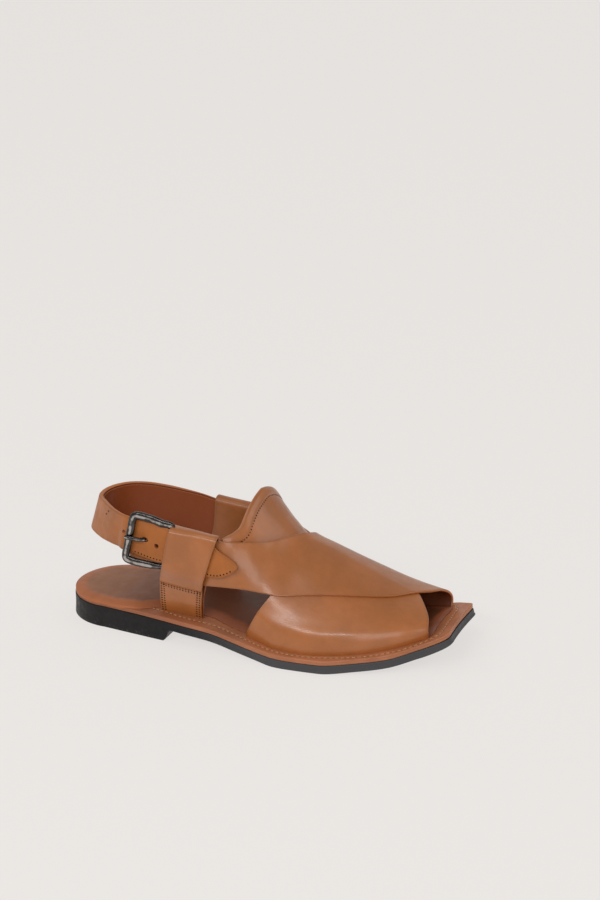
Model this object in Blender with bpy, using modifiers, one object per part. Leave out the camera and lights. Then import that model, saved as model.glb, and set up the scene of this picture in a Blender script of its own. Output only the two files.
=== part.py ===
"""Peshawari chappal, the right shoe: two wide crossing straps on a low-heeled sole.

Sizes are in millimetres in the shoe's own frame: x runs from the back of the heel to the toe,
y from the outer (lateral, negative) to the inner (medial, positive) side, z up from the floor.
to_world turns them into metres, with the origin under the middle of the shoe.
"""
import math

import bmesh
import bpy
import numpy as np
from mathutils import Vector

MM = 0.001
SHOE = "peshawari_chappal_right"

# Driving sizes.
LENGTH = 287.0
CENTRE_Y = -1.0
HEEL_DEPTH = 33.0
HEEL_BACK = -1.5
HEEL_FLARE = 1.6
TOE_FLARE = 1.9
RUBBER_FLARE = (0.3, 1.0)
TOE_HOLLOW = 2.0
TOE_SKEW = 2.5
GAP = 0.3
SEAT = 1.35
STRAP_THICK = 2.0
OVER_THICK = 2.2
TONGUE_THICK = 1.7
TONGUE_SEAT = 1.15
LINED_THICK = 2.2
PADDED_THICK = 4.0
CROSS_LIFT = 1.1
INSOLE_THICK = 2.6
INSOLE_ROLL = 9.0
INNER_LEAF = -1.4
OUTER_FOOT = 1.15
SEAM_DROP = 16.0
FOLD_RISE = 2.8
COVER_EASE = 0.9
STRAP_COLUMNS = 5
CUTTER_DEPTH = 9.0

# Columns: x, lateral edge, medial edge.
SOLE_PLAN = [
    (33, -32.3, 32.0),
    (60, -35.8, 33.5),
    (90, -39.3, 33.0),
    (120, -41.5, 34.0),
    (150, -46.8, 38.0),
    (180, -51.5, 44.0),
    (205, -50.4, 48.5),
    (230, -42.4, 51.5),
    (250, -34.4, 51.8),
    (268, -21.5, 50.2),
    (287, -12.8, 41.0),
]
INSOLE_PLAN = [
    (33, -31.8, 31.5),
    (50, -34.0, 32.4),
    (60, -33.5, 31.5),
    (68, -30.0, 28.0),
    (77, -25.2, 23.6),
    (90, -24.8, 22.8),
    (112, -24.8, 23.3),
    (130, -30.2, 27.2),
    (145, -33.5, 29.6),
    (158, -37.5, 32.6),
    (172, -41.2, 35.1),
    (190, -42.0, 38.1),
    (215, -37.0, 41.6),
    (238, -28.5, 44.1),
    (253, -20.0, 44.1),
    (264, -11.6, 42.5),
    (272.5, -6.4, 40.2),
]

# Columns: x, underside, top of the rubber, top of the midsole.
SOLE_HEIGHTS = [
    (0, 0, 16.0, 18.0),
    (40, 0, 16.0, 18.1),
    (60, 0, 15.9, 18.7),
    (82.4, 0, 15.2, 18.8),
    (89.2, 8.8, 14.8, 18.4),
    (100, 8.0, 14.0, 17.6),
    (120, 6.6, 12.6, 16.2),
    (140, 4.0, 10.0, 13.6),
    (160, 1.3, 7.4, 11.0),
    (172, 0, 6.4, 10.0),
    (188, 0, 6.1, 9.7),
    (206, 0, 6.2, 9.8),
    (225, 1.2, 7.3, 10.9),
    (250, 4.0, 10.1, 13.7),
    (268, 8.0, 14.1, 17.7),
    (280, 13.4, 18.6, 22.2),
    (287, 17.8, 22.1, 25.5),
]

# The last, the form the leather is pulled over. Columns: x, lateral foot, medial foot, crest y,
# crest z, lean of the sides, their rise, reach of the crest to each side, and its drop.
LAST = [
    (60, -29.5, 27.5, 4, 165, 14, 42, 42, 12),
    (90, -27.5, 25.5, 5, 160, 15, 42, 42, 12),
    (110, -27.5, 26.0, 7, 140, 14, 40, 44, 10),
    (130, -31.0, 28.0, 10, 118, 12, 36, 46, 8),
    (145, -34.5, 30.5, 13, 98, 9, 30, 40, 5),
    (158, -38.5, 33.5, 14, 80.5, 6, 24, 34, 3),
    (172, -42.3, 36.0, 13, 68.5, 4, 18, 30, 2),
    (190, -43.0, 39.0, 13, 61.3, 3, 15, 30, 2),
    (215, -38.0, 42.5, 14, 50.2, 3, 14, 30, 1.5),
    (238, -29.5, 45.0, 15, 40.2, 3, 13, 28, 1.5),
    (253, -21.0, 45.0, 16, 34.6, 3, 11, 26, 1),
    (264, -13.0, 43.5, 17, 32.0, 3, 9, 22, 1),
    (275, -5.0, 39.0, 18, 30.2, 2, 8, 18, 1),
]

# Straps on the last. A place is x and round: -1 the lateral foot, 0 the crest, 1 the medial foot.
# Columns: front edge x, front edge round, rear edge x, rear edge round.
OVER_STRAP = [
    (266.5, 1.00, 148, 1.00),
    (266, 0.80, 155, 0.76),
    (264.7, 0.58, 163, 0.50),
    (261.8, 0.37, 170, 0.27),
    (258.5, 0.16, 172, 0.10),
    (250, -0.01, 168, -0.03),
    (238, -0.19, 160, -0.19),
    (218, -0.325, 150, -0.33),
    (190, -0.45, 138, -0.43),
    (160, -0.59, 126, -0.50),
    (131, -0.727, 113, -0.545),
    (111, -0.785, 102, -0.575),
    (95, -0.75, 92, -0.59),
    (80, -0.749, 79, -0.587),
    (70, -0.746, 70, -0.585),
    (64.0, -0.744, 64.0, -0.60),
    (61.5, -0.735, 61.5, -0.65),
]
UNDER_STRAP = [
    (270, -1.00, 146, -1.00),
    (270, -0.76, 153, -0.84),
    (268.5, -0.45, 159, -0.70),
    (264, -0.22, 167, -0.50),
    (256, -0.02, 174, -0.24),
    (245, 0.13, 177, 0.02),
    (226, 0.30, 171, 0.24),
    (196, 0.46, 154, 0.40),
    (162, 0.62, 141, 0.50),
    (132, 0.74, 124, 0.575),
    (110, 0.79, 108, 0.63),
    (97, 0.78, 97, 0.655),
]

# Columns: round, rear edge x, front edge x.
TONGUE = [
    (-0.60, 136.0, 150),
    (-0.53, 132.6, 162),
    (-0.48, 131.8, 168),
    (-0.437, 132.8, 173),
    (-0.39, 136.1, 179),
    (-0.32, 139.3, 184),
    (-0.20, 141.0, 190),
    (-0.05, 142.0, 192),
    (0.10, 142.5, 192),
    (0.22, 142.0, 190),
    (0.34, 141.0, 186),
    (0.44, 138.0, 180),
    (0.52, 133.0, 172),
    (0.58, 128.5, 162),
    (0.64, 126.5, 150),
]

# Upright stays. Columns: z, rear edge x, front edge x.
LATERAL_STAY = [
    (20, 78.2, 109.3),
    (44, 82.3, 116.1),
    (62, 89.5, 123.5),
    (92, 97.0, 130.1),
]
MEDIAL_STAY = [
    (20, 80.5, 110.0),
    (45, 88.0, 117.5),
    (62, 91.5, 122.0),
    (80, 92.5, 125.5),
]
LATERAL_STAY_TOP = (89.4, 83.5)
MEDIAL_STAY_TOP = (80.0, 75.5)
# The height where the tunnel for the heel strap ends, at a stay's rear edge and its front edge.
LATERAL_POCKET = (61.5, 57.0)
MEDIAL_POCKET = (45.5, 45.5)

# Heel strap where it lies along the side of the last. Columns: x at its middle, z at its middle,
# half width, how far its upper edge leans forward, distance of its inner face from the last.
BUCKLED_SIDE = [
    (141.5, 62.5, 0.6, 0.0, 3.8),
    (139.1, 62.7, 3.1, 0.5, 3.7),
    (134.4, 63.2, 6.3, 1.5, 3.4),
    (129.2, 64.3, 8.8, 2.5, 3.1),
    (123.7, 66.3, 10.6, 4.0, 3.0),
    (118.0, 68.2, 11.4, 4.5, 3.2),
    (112.0, 70.0, 11.4, 5.5, 3.9),
    (104.0, 72.0, 11.3, 6.0, 5.5),
    (96.0, 73.4, 10.6, 6.0, 6.6),
    (88.0, 74.7, 11.7, 6.0, 6.1),
    (81.0, 76.2, 12.5, 6.0, 5.1),
    (74.5, 77.4, 12.7, 6.0, 3.9),
    (68.0, 78.6, 12.6, 6.0, 3.1),
    (61.0, 79.9, 12.4, 6.0, 3.0),
]
SEWN_SIDE = [
    (79.0, 63.9, 14.9, 2.0, 2.5),
    (91.0, 61.8, 14.6, 2.0, 2.4),
    (103.0, 59.6, 14.1, 2.0, 2.4),
    (114.0, 57.7, 13.7, 2.0, 2.4),
]
# Its way round the back of the heel, inner face. Columns: lower edge x, y, z, upper edge x, y, z,
# thickness.
HEEL_LOOP = [
    (52.5, -33.6, 66.3, 58.0, -34.8, 92.2, 2.5),
    (43.5, -27.3, 65.0, 49.5, -28.1, 91.0, 3.0),
    (33.8, -19.2, 63.0, 40.8, -19.6, 89.6, 3.6),
    (24.0, -10.1, 61.5, 32.0, -10.1, 88.2, 4.0),
    (16.2, -2.0, 60.8, 24.6, -1.5, 86.8, 4.0),
    (13.6, 5.1, 60.4, 22.2, 5.7, 86.1, 4.0),
    (14.8, 12.2, 59.6, 22.2, 13.2, 85.8, 4.0),
    (19.4, 19.6, 58.4, 25.4, 20.6, 85.8, 4.0),
    (28.0, 27.1, 56.8, 32.0, 27.9, 85.4, 4.0),
    (39.5, 32.2, 54.6, 42.5, 32.8, 84.4, 4.0),
    (52.7, 35.3, 52.4, 55.2, 35.9, 82.6, 3.8),
    (66.0, 37.0, 50.6, 68.2, 37.6, 80.7, 3.2),
]

# Buckle, beside the last. Columns: x, z, distance of the bar's middle from the last, half its
# width and half its depth.
BUCKLE_FRAME = [
    (62.6, 71.0, 7.6, 2.7, 1.75),
    (64.8, 78.5, 7.6, 2.7, 1.75),
    (66.7, 86.0, 7.6, 2.7, 1.75),
    (67.8, 91.0, 7.5, 2.75, 1.8),
    (69.6, 93.9, 7.6, 2.8, 1.85),
    (73.2, 94.5, 7.8, 2.9, 1.85),
    (78.5, 93.9, 8.0, 2.8, 1.85),
    (84.5, 92.7, 7.8, 2.7, 1.8),
    (89.6, 91.1, 7.2, 2.5, 1.6),
    (92.8, 89.9, 6.5, 1.75, 1.35),
    (93.7, 87.4, 5.7, 1.35, 1.2),
    (95.0, 84.2, 4.7, 1.2, 1.1),
    (96.4, 80.6, 3.9, 1.05, 1.0),
    (96.2, 74.5, 3.8, 1.05, 1.0),
    (94.1, 65.0, 3.8, 1.05, 1.0),
    (92.9, 61.0, 3.9, 1.2, 1.05),
    (90.2, 59.2, 4.6, 1.5, 1.25),
    (86.0, 58.9, 6.0, 2.1, 1.5),
    (79.0, 59.9, 7.5, 2.65, 1.75),
    (71.0, 60.7, 7.9, 2.9, 1.8),
    (64.8, 61.6, 7.6, 2.9, 1.8),
    (61.5, 62.9, 7.5, 2.8, 1.8),
    (61.2, 65.8, 7.5, 2.7, 1.75),
]
HINGE = (96.2, 74.3, 3.8)
PRONG_HALF = (1.3, 0.95)
PRONG_EYE = 1.85
PRONG_EYE_WIRE = 0.55
PRONG_PATH = [
    (94.3, 74.7, 3.8),
    (88.0, 75.6, 3.7),
    (81.6, 76.6, 3.7),
    (78.4, 77.1, 4.3),
    (76.6, 77.5, 5.9),
    (75.0, 77.9, 7.8),
    (72.8, 78.3, 9.3),
    (69.6, 78.8, 10.2),
    (66.0, 79.2, 10.6),
    (62.3, 79.6, 10.6),
]
# Holes in the heel strap. Columns: x, z, length along the strap, height, distance from the last.
STRAP_HOLES = [
    (85.3, 74.6, 2.6, 2.6, 6.8),
    (77.1, 77.3, 7.6, 3.4, 5.6),
    (59.6, 80.8, 2.4, 2.4, 3.9),
]
CHAPE_SLOT = (96.2, 74.4, 8.0, 4.2)
CHAPE_DEPTH = 6.0


def monotone(table, column):
    """A smooth curve through a table's column against its first column, without overshoot."""
    xs = np.array([row[0] for row in table], float)
    ys = np.array([row[column] for row in table], float)
    step = np.diff(xs)
    rise = np.diff(ys) / step
    slope = np.zeros(len(xs))
    slope[0] = rise[0]
    slope[-1] = rise[-1]
    for i in range(1, len(xs) - 1):
        if rise[i - 1] * rise[i] > 0:
            first = 2 * step[i] + step[i - 1]
            second = step[i] + 2 * step[i - 1]
            slope[i] = (first + second) / (first / rise[i - 1] + second / rise[i])

    def value(x):
        i = int(np.clip(np.searchsorted(xs, x) - 1, 0, len(step) - 1))
        t = min(max((x - xs[i]) / step[i], 0.0), 1.0)
        a = (1 + 2 * t) * (1 - t) ** 2 * ys[i] + t * (1 - t) ** 2 * step[i] * slope[i]
        b = t * t * (3 - 2 * t) * ys[i + 1] - t * t * (1 - t) * step[i] * slope[i + 1]
        return float(a + b)

    return value


def smooth_rows(rows, per_row):
    """Catmull-Rom rows between the given rows, per_row steps to each."""
    rows = np.array(rows, float)
    ends = np.vstack([2 * rows[:1] - rows[1:2], rows, 2 * rows[-1:] - rows[-2:-1]])
    out = []
    for i in range(len(rows) - 1):
        a, b, c, d = ends[i], ends[i + 1], ends[i + 2], ends[i + 3]
        for k in range(per_row):
            t = k / per_row
            out.append(0.5 * (2 * b + (c - a) * t + (2 * a - 5 * b + 4 * c - d) * t * t
                              + (3 * b - a - 3 * c + d) * t ** 3))
    out.append(rows[-1])
    return out


def ramp(value, low, high):
    t = min(max((value - low) / (high - low), 0.0), 1.0)
    return t * t * (3 - 2 * t)


UNDERSIDE = monotone(SOLE_HEIGHTS, 1)
RUBBER_TOP = monotone(SOLE_HEIGHTS, 2)
MIDSOLE_TOP = monotone(SOLE_HEIGHTS, 3)
LAST_CURVES = [monotone(LAST, column) for column in range(1, 9)]


def to_world(point):
    x, y, z = point
    return Vector(((x - LENGTH / 2) * MM, (y - CENTRE_Y) * MM, z * MM))


def on_last(x, turn):
    lateral, medial, crest_y, crest_z, lean, rise, reach, drop = [c(x) for c in LAST_CURVES]
    side = -1 if turn < 0 else 1
    w = 1 - abs(turn)
    foot_y = lateral if turn < 0 else medial
    foot_z = MIDSOLE_TOP(x) + GAP
    ys = (foot_y, foot_y + side * lean, crest_y + side * reach, crest_y)
    zs = (foot_z, foot_z + rise, crest_z - drop, crest_z)
    weights = ((1 - w) ** 3, 3 * w * (1 - w) ** 2, 3 * w * w * (1 - w), w ** 3)
    y = sum(k * v for k, v in zip(weights, ys))
    z = sum(k * v for k, v in zip(weights, zs))
    return np.array([x, y, z])


def last_normal(x, turn):
    along = on_last(x + 0.5, turn) - on_last(x - 0.5, turn)
    low = max(turn - 0.002, -1.0)
    high = min(turn + 0.002, 1.0)
    across = on_last(x, high) - on_last(x, low)
    normal = np.cross(along, across)
    return normal / np.linalg.norm(normal)


def off_last(x, turn, distance):
    """A point that lies a distance outside the last, never under the strap's seat."""
    point = on_last(x, turn) + distance * last_normal(x, turn)
    point[2] = max(point[2], MIDSOLE_TOP(x) + SEAT)
    return point


def turn_at(x, z, side):
    """How far round the last its side reaches the height z."""
    low, high = 0.0, 1.0
    for _ in range(30):
        middle = (low + high) / 2
        if on_last(x, side * (1 - middle))[2] < z:
            low = middle
        else:
            high = middle
    return side * (1 - (low + high) / 2)


def beside_last(x, z, distance, side=-1):
    return off_last(x, turn_at(x, z, side), distance)


# Blender helpers.
def clear_scene():
    for item in list(bpy.data.objects):
        bpy.data.objects.remove(item, do_unlink=True)


def new_collection(name):
    collection = bpy.data.collections.new(name)
    bpy.context.scene.collection.children.link(collection)
    return collection


def material(name, colour, roughness, metallic=0.0):
    made = bpy.data.materials.new(name)
    made.use_nodes = True
    shader = made.node_tree.nodes["Principled BSDF"]
    shader.inputs["Base Color"].default_value = (*colour, 1)
    shader.inputs["Roughness"].default_value = roughness
    shader.inputs["Metallic"].default_value = metallic
    return made


def mesh_object(name, points, faces, collection):
    mesh = bpy.data.meshes.new(name)
    mesh.from_pydata([to_world(p) for p in points], [], faces)
    made = bpy.data.objects.new(name, mesh)
    collection.objects.link(made)
    return made


def finish(item, surface, angle=math.radians(35)):
    item.data.materials.clear()
    item.data.materials.append(surface)
    item.data.shade_smooth()
    item.data.set_sharp_from_angle(angle=angle)
    return item


def grid_faces(rows, columns, flip, start=0):
    faces = []
    for i in range(rows - 1):
        for j in range(columns - 1):
            a = start + i * columns + j
            face = (a, a + 1, a + columns + 1, a + columns)
            faces.append(face[::-1] if flip else face)
    return faces


def leather_sheet(name, rows, thickness, collection, flip=False, offset=1.0, sizes=None):
    """An open loft through rows of points, made solid to one side or about its middle.

    sizes gives each row a thickness of its own, up to the sheet's.
    """
    columns = len(rows[0])
    points = [point for row in rows for point in row]
    made = mesh_object(name, points, grid_faces(len(rows), columns, flip), collection)
    solid = made.modifiers.new("thickness", 'SOLIDIFY')
    solid.thickness = thickness * MM
    solid.offset = offset
    solid.use_even_offset = True
    if sizes is not None:
        group = made.vertex_groups.new(name="thickness")
        for k in range(len(points)):
            group.add([k], sizes[k // columns] / thickness, 'REPLACE')
        solid.vertex_group = group.name
    return made


def slab(name, stations, low, high, collection, flare=(0.0, 0.0)):
    """A closed loft between two height functions over a plan; stations hold rows of x, y.

    The flares lengthen its upper and its lower outline at the heel and the toe.
    """
    rows = len(stations)
    columns = len(stations[0])
    top = [(x + flare[0] * spread(x), y, high(x, y)) for row in stations for x, y in row]
    bottom = [(x + flare[1] * spread(x), y, low(x, y)) for row in stations for x, y in row]
    size = rows * columns
    faces = grid_faces(rows, columns, True) + grid_faces(rows, columns, False, size)
    rim = [(0, j) for j in range(columns)]
    rim += [(i, columns - 1) for i in range(1, rows)]
    rim += [(rows - 1, j) for j in range(columns - 2, -1, -1)]
    rim += [(i, 0) for i in range(rows - 2, 0, -1)]
    for here, there in zip(rim, rim[1:] + rim[:1]):
        a = here[0] * columns + here[1]
        b = there[0] * columns + there[1]
        faces.append((a, b, b + size, a + size))
    return mesh_object(name, top + bottom, faces, collection)


def spread(x):
    """How far the rubber's foot stands out beyond the sole at the heel and the toe."""
    return TOE_FLARE * ramp(x, LENGTH - 24, LENGTH) - HEEL_FLARE * (1 - ramp(x, HEEL_BACK, HEEL_DEPTH))


def plan_rows(plan, stations, front, insets):
    """Rows of x, y across a plan, from the round heel to the hollow toe."""
    lateral = monotone(plan, 1)
    medial = monotone(plan, 2)
    first = plan[0][0]
    heel_left, heel_right = lateral(first), medial(first)
    rows = []
    for degrees in (4, 12, 20, 29, 38, 48, 59, 74):
        angle = math.radians(degrees)
        x = first - (first - HEEL_BACK) * math.cos(angle)
        rows.append((x, heel_left * math.sin(angle), heel_right * math.sin(angle)))
    rows += [(x, lateral(x), medial(x)) for x in stations if first <= x <= front]
    out = []
    for x, left, right in rows:
        middle = (left + right) / 2
        half = (right - left) / 2
        scale = min(1.0, half / 14)
        ys = [left + inset * scale for inset in insets] + [middle]
        ys += [right - inset * scale for inset in reversed(insets)]
        pull = TOE_HOLLOW * ramp(x, front - 16, front)
        skew = TOE_SKEW * ramp(x, front - 25, front)
        shares = [(y - middle) / half for y in ys]
        out.append([(x - pull * (1 - share ** 2) - skew * (1 + share) / 2, y)
                    for y, share in zip(ys, shares)])
    return out


def soften(item, width, segments=2):
    bevel = item.modifiers.new("edges", 'BEVEL')
    bevel.width = width * MM
    bevel.segments = segments
    bevel.limit_method = 'ANGLE'
    bevel.angle_limit = math.radians(50)
    return item


def wire(name, points, radius, collection):
    """A closed round wire through points in the shoe's frame, as a welded mesh."""
    curve = bpy.data.curves.new(name, 'CURVE')
    curve.dimensions = '3D'
    curve.bevel_depth = radius * MM
    curve.bevel_resolution = 2
    line = curve.splines.new('POLY')
    line.points.add(len(points) - 1)
    for knot, point in zip(line.points, points):
        knot.co = (*to_world(point), 1)
    line.use_cyclic_u = True
    path = bpy.data.objects.new(name + "_path", curve)
    collection.objects.link(path)
    bpy.context.view_layer.update()
    shaped = path.evaluated_get(bpy.context.evaluated_depsgraph_get())
    mesh = bpy.data.meshes.new_from_object(shaped)
    mesh.name = name
    joined = bmesh.new()
    joined.from_mesh(mesh)
    bmesh.ops.remove_doubles(joined, verts=joined.verts, dist=0.00001)
    bmesh.ops.recalc_face_normals(joined, faces=joined.faces)
    joined.to_mesh(mesh)
    joined.free()
    made = bpy.data.objects.new(name, mesh)
    collection.objects.link(made)
    bpy.data.objects.remove(path)
    bpy.data.curves.remove(curve)
    return made


def combine(item, other, operation):
    step = item.modifiers.new(operation.lower(), 'BOOLEAN')
    step.operation = operation
    step.solver = 'EXACT'
    step.object = other
    other.hide_render = True
    other.display_type = 'WIRE'


def box_cutter(name, centre, axes, sizes, collection):
    """A box with its middle and its three unit axes in the shoe's frame."""
    bpy.ops.mesh.primitive_cube_add(size=1)
    made = bpy.context.object
    made.name = name
    for owner in list(made.users_collection):
        owner.objects.unlink(made)
    collection.objects.link(made)
    corners = []
    for vertex in made.data.vertices:
        offset = sum(vertex.co[k] * sizes[k] * np.array(axes[k]) for k in range(3))
        corners.append(to_world(np.array(centre) + offset))
    for vertex, corner in zip(made.data.vertices, corners):
        vertex.co = corner
    return made


def side_axes(x, z):
    """Along the strap, up it and out of it, where it lies beside the last."""
    along = beside_last(x + 2, z - 0.25, 3) - beside_last(x - 2, z + 0.25, 3)
    along /= np.linalg.norm(along)
    out = last_normal(x, turn_at(x, z, -1))
    out -= along * np.dot(along, out)
    out /= np.linalg.norm(out)
    return along, np.cross(out, along), out


# Sub-parts.
def build_outsole(parts, rubber):
    stations = [33, 40, 48, 56, 64, 73, 82.4, 89.2, 95, 102, 109, 117, 125, 133, 141, 149, 157, 165,
                172, 180, 188, 197, 206, 214, 222, 230, 237, 244, 250, 256, 262, 268, 273, 278,
                283, 287]
    rows = plan_rows(SOLE_PLAN, stations, LENGTH, [0])
    made = slab("outsole", rows, lambda x, y: UNDERSIDE(x), lambda x, y: RUBBER_TOP(x), parts,
                RUBBER_FLARE)
    return finish(soften(made, 0.8, 1), rubber)


def build_midsole(parts, tan):
    stations = [33, 42, 51, 60, 70, 78, 86, 94, 102, 110, 118, 126, 134, 142, 150, 158, 166, 174,
                182, 190, 198, 206, 214, 222, 230, 237, 244, 250, 256, 262, 268, 273, 278, 283, 287]
    rows = plan_rows(SOLE_PLAN, stations, LENGTH, [0])
    made = slab("midsole", rows, lambda x, y: RUBBER_TOP(x) + GAP,
                lambda x, y: MIDSOLE_TOP(x), parts)
    return finish(soften(made, 0.9), tan)


def build_insole(parts, lining):
    front = INSOLE_PLAN[-1][0]
    stations = [33, 42, 50, 56, 62, 68, 73, 78, 84, 90, 98, 106, 114, 122, 130, 138, 146, 154, 162,
                172, 182, 192, 203, 214, 225, 235, 245, 254, 262, 268, front]
    rows = plan_rows(INSOLE_PLAN, stations, front, [0, 1.0, 3.5, 9.0])
    lateral = monotone(INSOLE_PLAN, 1)
    medial = monotone(INSOLE_PLAN, 2)

    def top(x, y):
        inside = min(y - lateral(x), medial(x) - y, (front - x) + 1.0)
        if x < HEEL_DEPTH:
            inside = HEEL_DEPTH - math.hypot(HEEL_DEPTH - x, y)
        share = 1 - min(max(inside, 0.0) / INSOLE_ROLL, 1.0)
        return MIDSOLE_TOP(x) + GAP + INSOLE_THICK * (0.45 + 0.55 * (1 - share ** 2.5))

    made = slab("insole", rows, lambda x, y: MIDSOLE_TOP(x) + GAP, top, parts)
    return finish(made, lining)


def strap_rows(table, per_row, columns, distance):
    rows = []
    for front_x, front_turn, rear_x, rear_turn in smooth_rows(table, per_row):
        row = []
        for k in range(columns):
            share = k / (columns - 1)
            x = front_x + (rear_x - front_x) * share
            turn = front_turn + (rear_turn - front_turn) * share
            turn = min(max(turn, -1.0), 1.0)
            row.append(off_last(x, turn, distance(x, turn)))
        rows.append(row)
    return rows


def over_distance(x, turn):
    """The strap on top lies on the one below where they cross, and on the last elsewhere."""
    lifted = CROSS_LIFT * ramp(1 - turn, 0.0, 0.3) * ramp(x, 132, 150)
    return max(lifted, 0.2 * ramp(-turn, -0.9, 0.0))


def build_upper(parts, cutters, tan):
    over = strap_rows(OVER_STRAP, 2, 11, over_distance)
    made = leather_sheet("upper", over, OVER_THICK, parts)
    under = strap_rows(UNDER_STRAP, 2, 9, lambda x, turn: 0.0)
    lower = leather_sheet("under_strap", under, STRAP_THICK, cutters, flip=True)
    combine(made, lower, 'UNION')
    x, z, length, height = CHAPE_SLOT
    centre = beside_last(x, z, 1.2)
    sizes = (length, height, CHAPE_DEPTH)
    slot = box_cutter("chape_slot", centre, side_axes(x, z), sizes, cutters)
    combine(made, slot, 'DIFFERENCE')
    return finish(made, tan)


def build_tongue(parts, tan):
    rows = []
    for turn, rear, front in smooth_rows(TONGUE, 2):
        shares = (0, 0.12, 0.3, 0.55, 0.8, 1)
        rows.append([off_last(rear + (front - rear) * s, turn, -TONGUE_SEAT) for s in shares])
    made = leather_sheet("tongue", rows, TONGUE_THICK, parts, offset=-1.0)
    return finish(made, tan)


def stay_rows(edges, tops, pockets, side, cover):
    """A strip of leather from inside the foot, over a fold and down to the foot outside."""
    rear = monotone(edges, 1)
    front = monotone(edges, 2)
    foot = edges[0][0]
    rows = []
    for share in (0, 0.2, 0.4, 0.6, 0.8, 1):
        fold = tops[0] + (tops[1] - tops[0]) * share - FOLD_RISE - STRAP_THICK / 2
        pocket = pockets[0] + (pockets[1] - pockets[0]) * share
        seam = pocket - SEAM_DROP
        # Columns: z, distance from the last, share of the cover's distance added to it.
        path = [(foot, INNER_LEAF, 0), (34, INNER_LEAF, 0), (48, INNER_LEAF, 0)]
        path += [(60, INNER_LEAF, 0), (fold - 7, INNER_LEAF, 0)]
        for degrees in (0, 30, 60, 90, 120, 150, 180):
            angle = math.radians(degrees)
            out = (1 - math.cos(angle)) / 2
            path.append((fold + FOLD_RISE * math.sin(angle), INNER_LEAF * (1 - out), out))
        path += [((fold + pocket) / 2, 0, 1), (pocket, 0, 0.96), (pocket - 5, 0.1, 0.8)]
        path += [(pocket - 10, 0.4, 0.55), (seam, 0.8, 0.28), (seam - 6, 1.0, 0.1)]
        path += [((seam + foot) / 2 - 3, OUTER_FOOT, 0.02), (foot, OUTER_FOOT, 0)]
        row = []
        for z, distance, out in path:
            x = rear(z) + (front(z) - rear(z)) * share
            turn = side if z <= foot else turn_at(x, z, side)
            row.append(off_last(x, turn, distance + out * cover(x)))
        rows.append(row)
    return rows


def buckle_cover(x):
    """Middle of the stay's outer leaf, clear of the heel strap on the buckle's hinge bar."""
    side = sorted((row[0], row[4]) for row in BUCKLED_SIDE)
    return monotone(side, 1)(x) + LINED_THICK + STRAP_THICK / 2 + COVER_EASE


def sewn_cover(x):
    return SEWN_SIDE[-1][4] + LINED_THICK + STRAP_THICK / 2 + COVER_EASE


def build_stays(parts, tan):
    lateral = stay_rows(LATERAL_STAY, LATERAL_STAY_TOP, LATERAL_POCKET, -1, buckle_cover)
    made = leather_sheet("lateral_stay", lateral, STRAP_THICK, parts, offset=0.0)
    finish(made, tan)
    medial = stay_rows(MEDIAL_STAY, MEDIAL_STAY_TOP, MEDIAL_POCKET, 1, sewn_cover)
    made = leather_sheet("medial_stay", medial, STRAP_THICK, parts, flip=True, offset=0.0)
    finish(made, tan)


def side_row(row, side, columns):
    x, z, half, lean, distance = row
    out = []
    for k in range(columns):
        share = 2 * k / (columns - 1) - 1
        out.append(beside_last(x + share * lean / 2, z + share * half, distance, side))
    return out


def build_heel_strap(parts, cutters, tan):
    columns = STRAP_COLUMNS
    rows = [side_row(row, -1, columns) for row in BUCKLED_SIDE]
    for row in HEEL_LOOP:
        low = np.array(row[:3])
        high = np.array(row[3:6])
        rows.append([low + (high - low) * k / (columns - 1) for k in range(columns)])
    rows += [side_row(row, 1, columns) for row in SEWN_SIDE]
    sizes = [LINED_THICK] * len(BUCKLED_SIDE) + [row[6] for row in HEEL_LOOP]
    sizes += [LINED_THICK] * len(SEWN_SIDE)
    rows = smooth_rows([np.array(row) for row in rows], 2)
    sizes = [float(row[0]) for row in smooth_rows([[size] for size in sizes], 2)]
    sizes = [min(max(size, LINED_THICK), PADDED_THICK) for size in sizes]
    made = leather_sheet("heel_strap", rows, PADDED_THICK, parts, sizes=sizes)
    for k, (x, z, length, height, distance) in enumerate(STRAP_HOLES):
        centre = beside_last(x, z, distance)
        sizes = (length, height, CUTTER_DEPTH)
        hole = box_cutter(f"strap_hole_{k}", centre, side_axes(x, z), sizes, cutters)
        combine(made, hole, 'DIFFERENCE')
    return finish(made, tan)


def bar(name, rows, collection, closed, sides=10):
    """An oval bar through rows of x, z, distance from the last, half width and half depth."""
    path = np.array([beside_last(row[0], row[1], row[2]) for row in rows])
    if closed:
        along = np.roll(path, -1, 0) - np.roll(path, 1, 0)
    else:
        along = np.gradient(path, axis=0)
    points = []
    for row, centre, forth in zip(rows, path, along):
        forth = forth / np.linalg.norm(forth)
        out = last_normal(row[0], turn_at(row[0], row[1], -1))
        out -= forth * np.dot(forth, out)
        out /= np.linalg.norm(out)
        across = np.cross(forth, out)
        for k in range(sides):
            angle = 2 * math.pi * k / sides
            points.append(centre + row[3] * math.cos(angle) * across
                          + row[4] * math.sin(angle) * out)
    faces = []
    for i in range(len(rows) if closed else len(rows) - 1):
        here = i * sides
        there = (i + 1) % len(rows) * sides
        for k in range(sides):
            n = (k + 1) % sides
            faces.append((here + k, there + k, there + n, here + n))
    if not closed:
        faces.append(tuple(range(sides)))
        faces.append(tuple(range(len(points) - 1, len(points) - sides - 1, -1)))
    made = mesh_object(name, points, faces, collection)
    joined = bmesh.new()
    joined.from_mesh(made.data)
    bmesh.ops.recalc_face_normals(joined, faces=joined.faces)
    joined.to_mesh(made.data)
    joined.free()
    return made


def build_buckle(parts, metal):
    rows = smooth_rows(BUCKLE_FRAME + BUCKLE_FRAME[:1], 2)[:-1]
    finish(bar("buckle_frame", rows, parts, True), metal)


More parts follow.
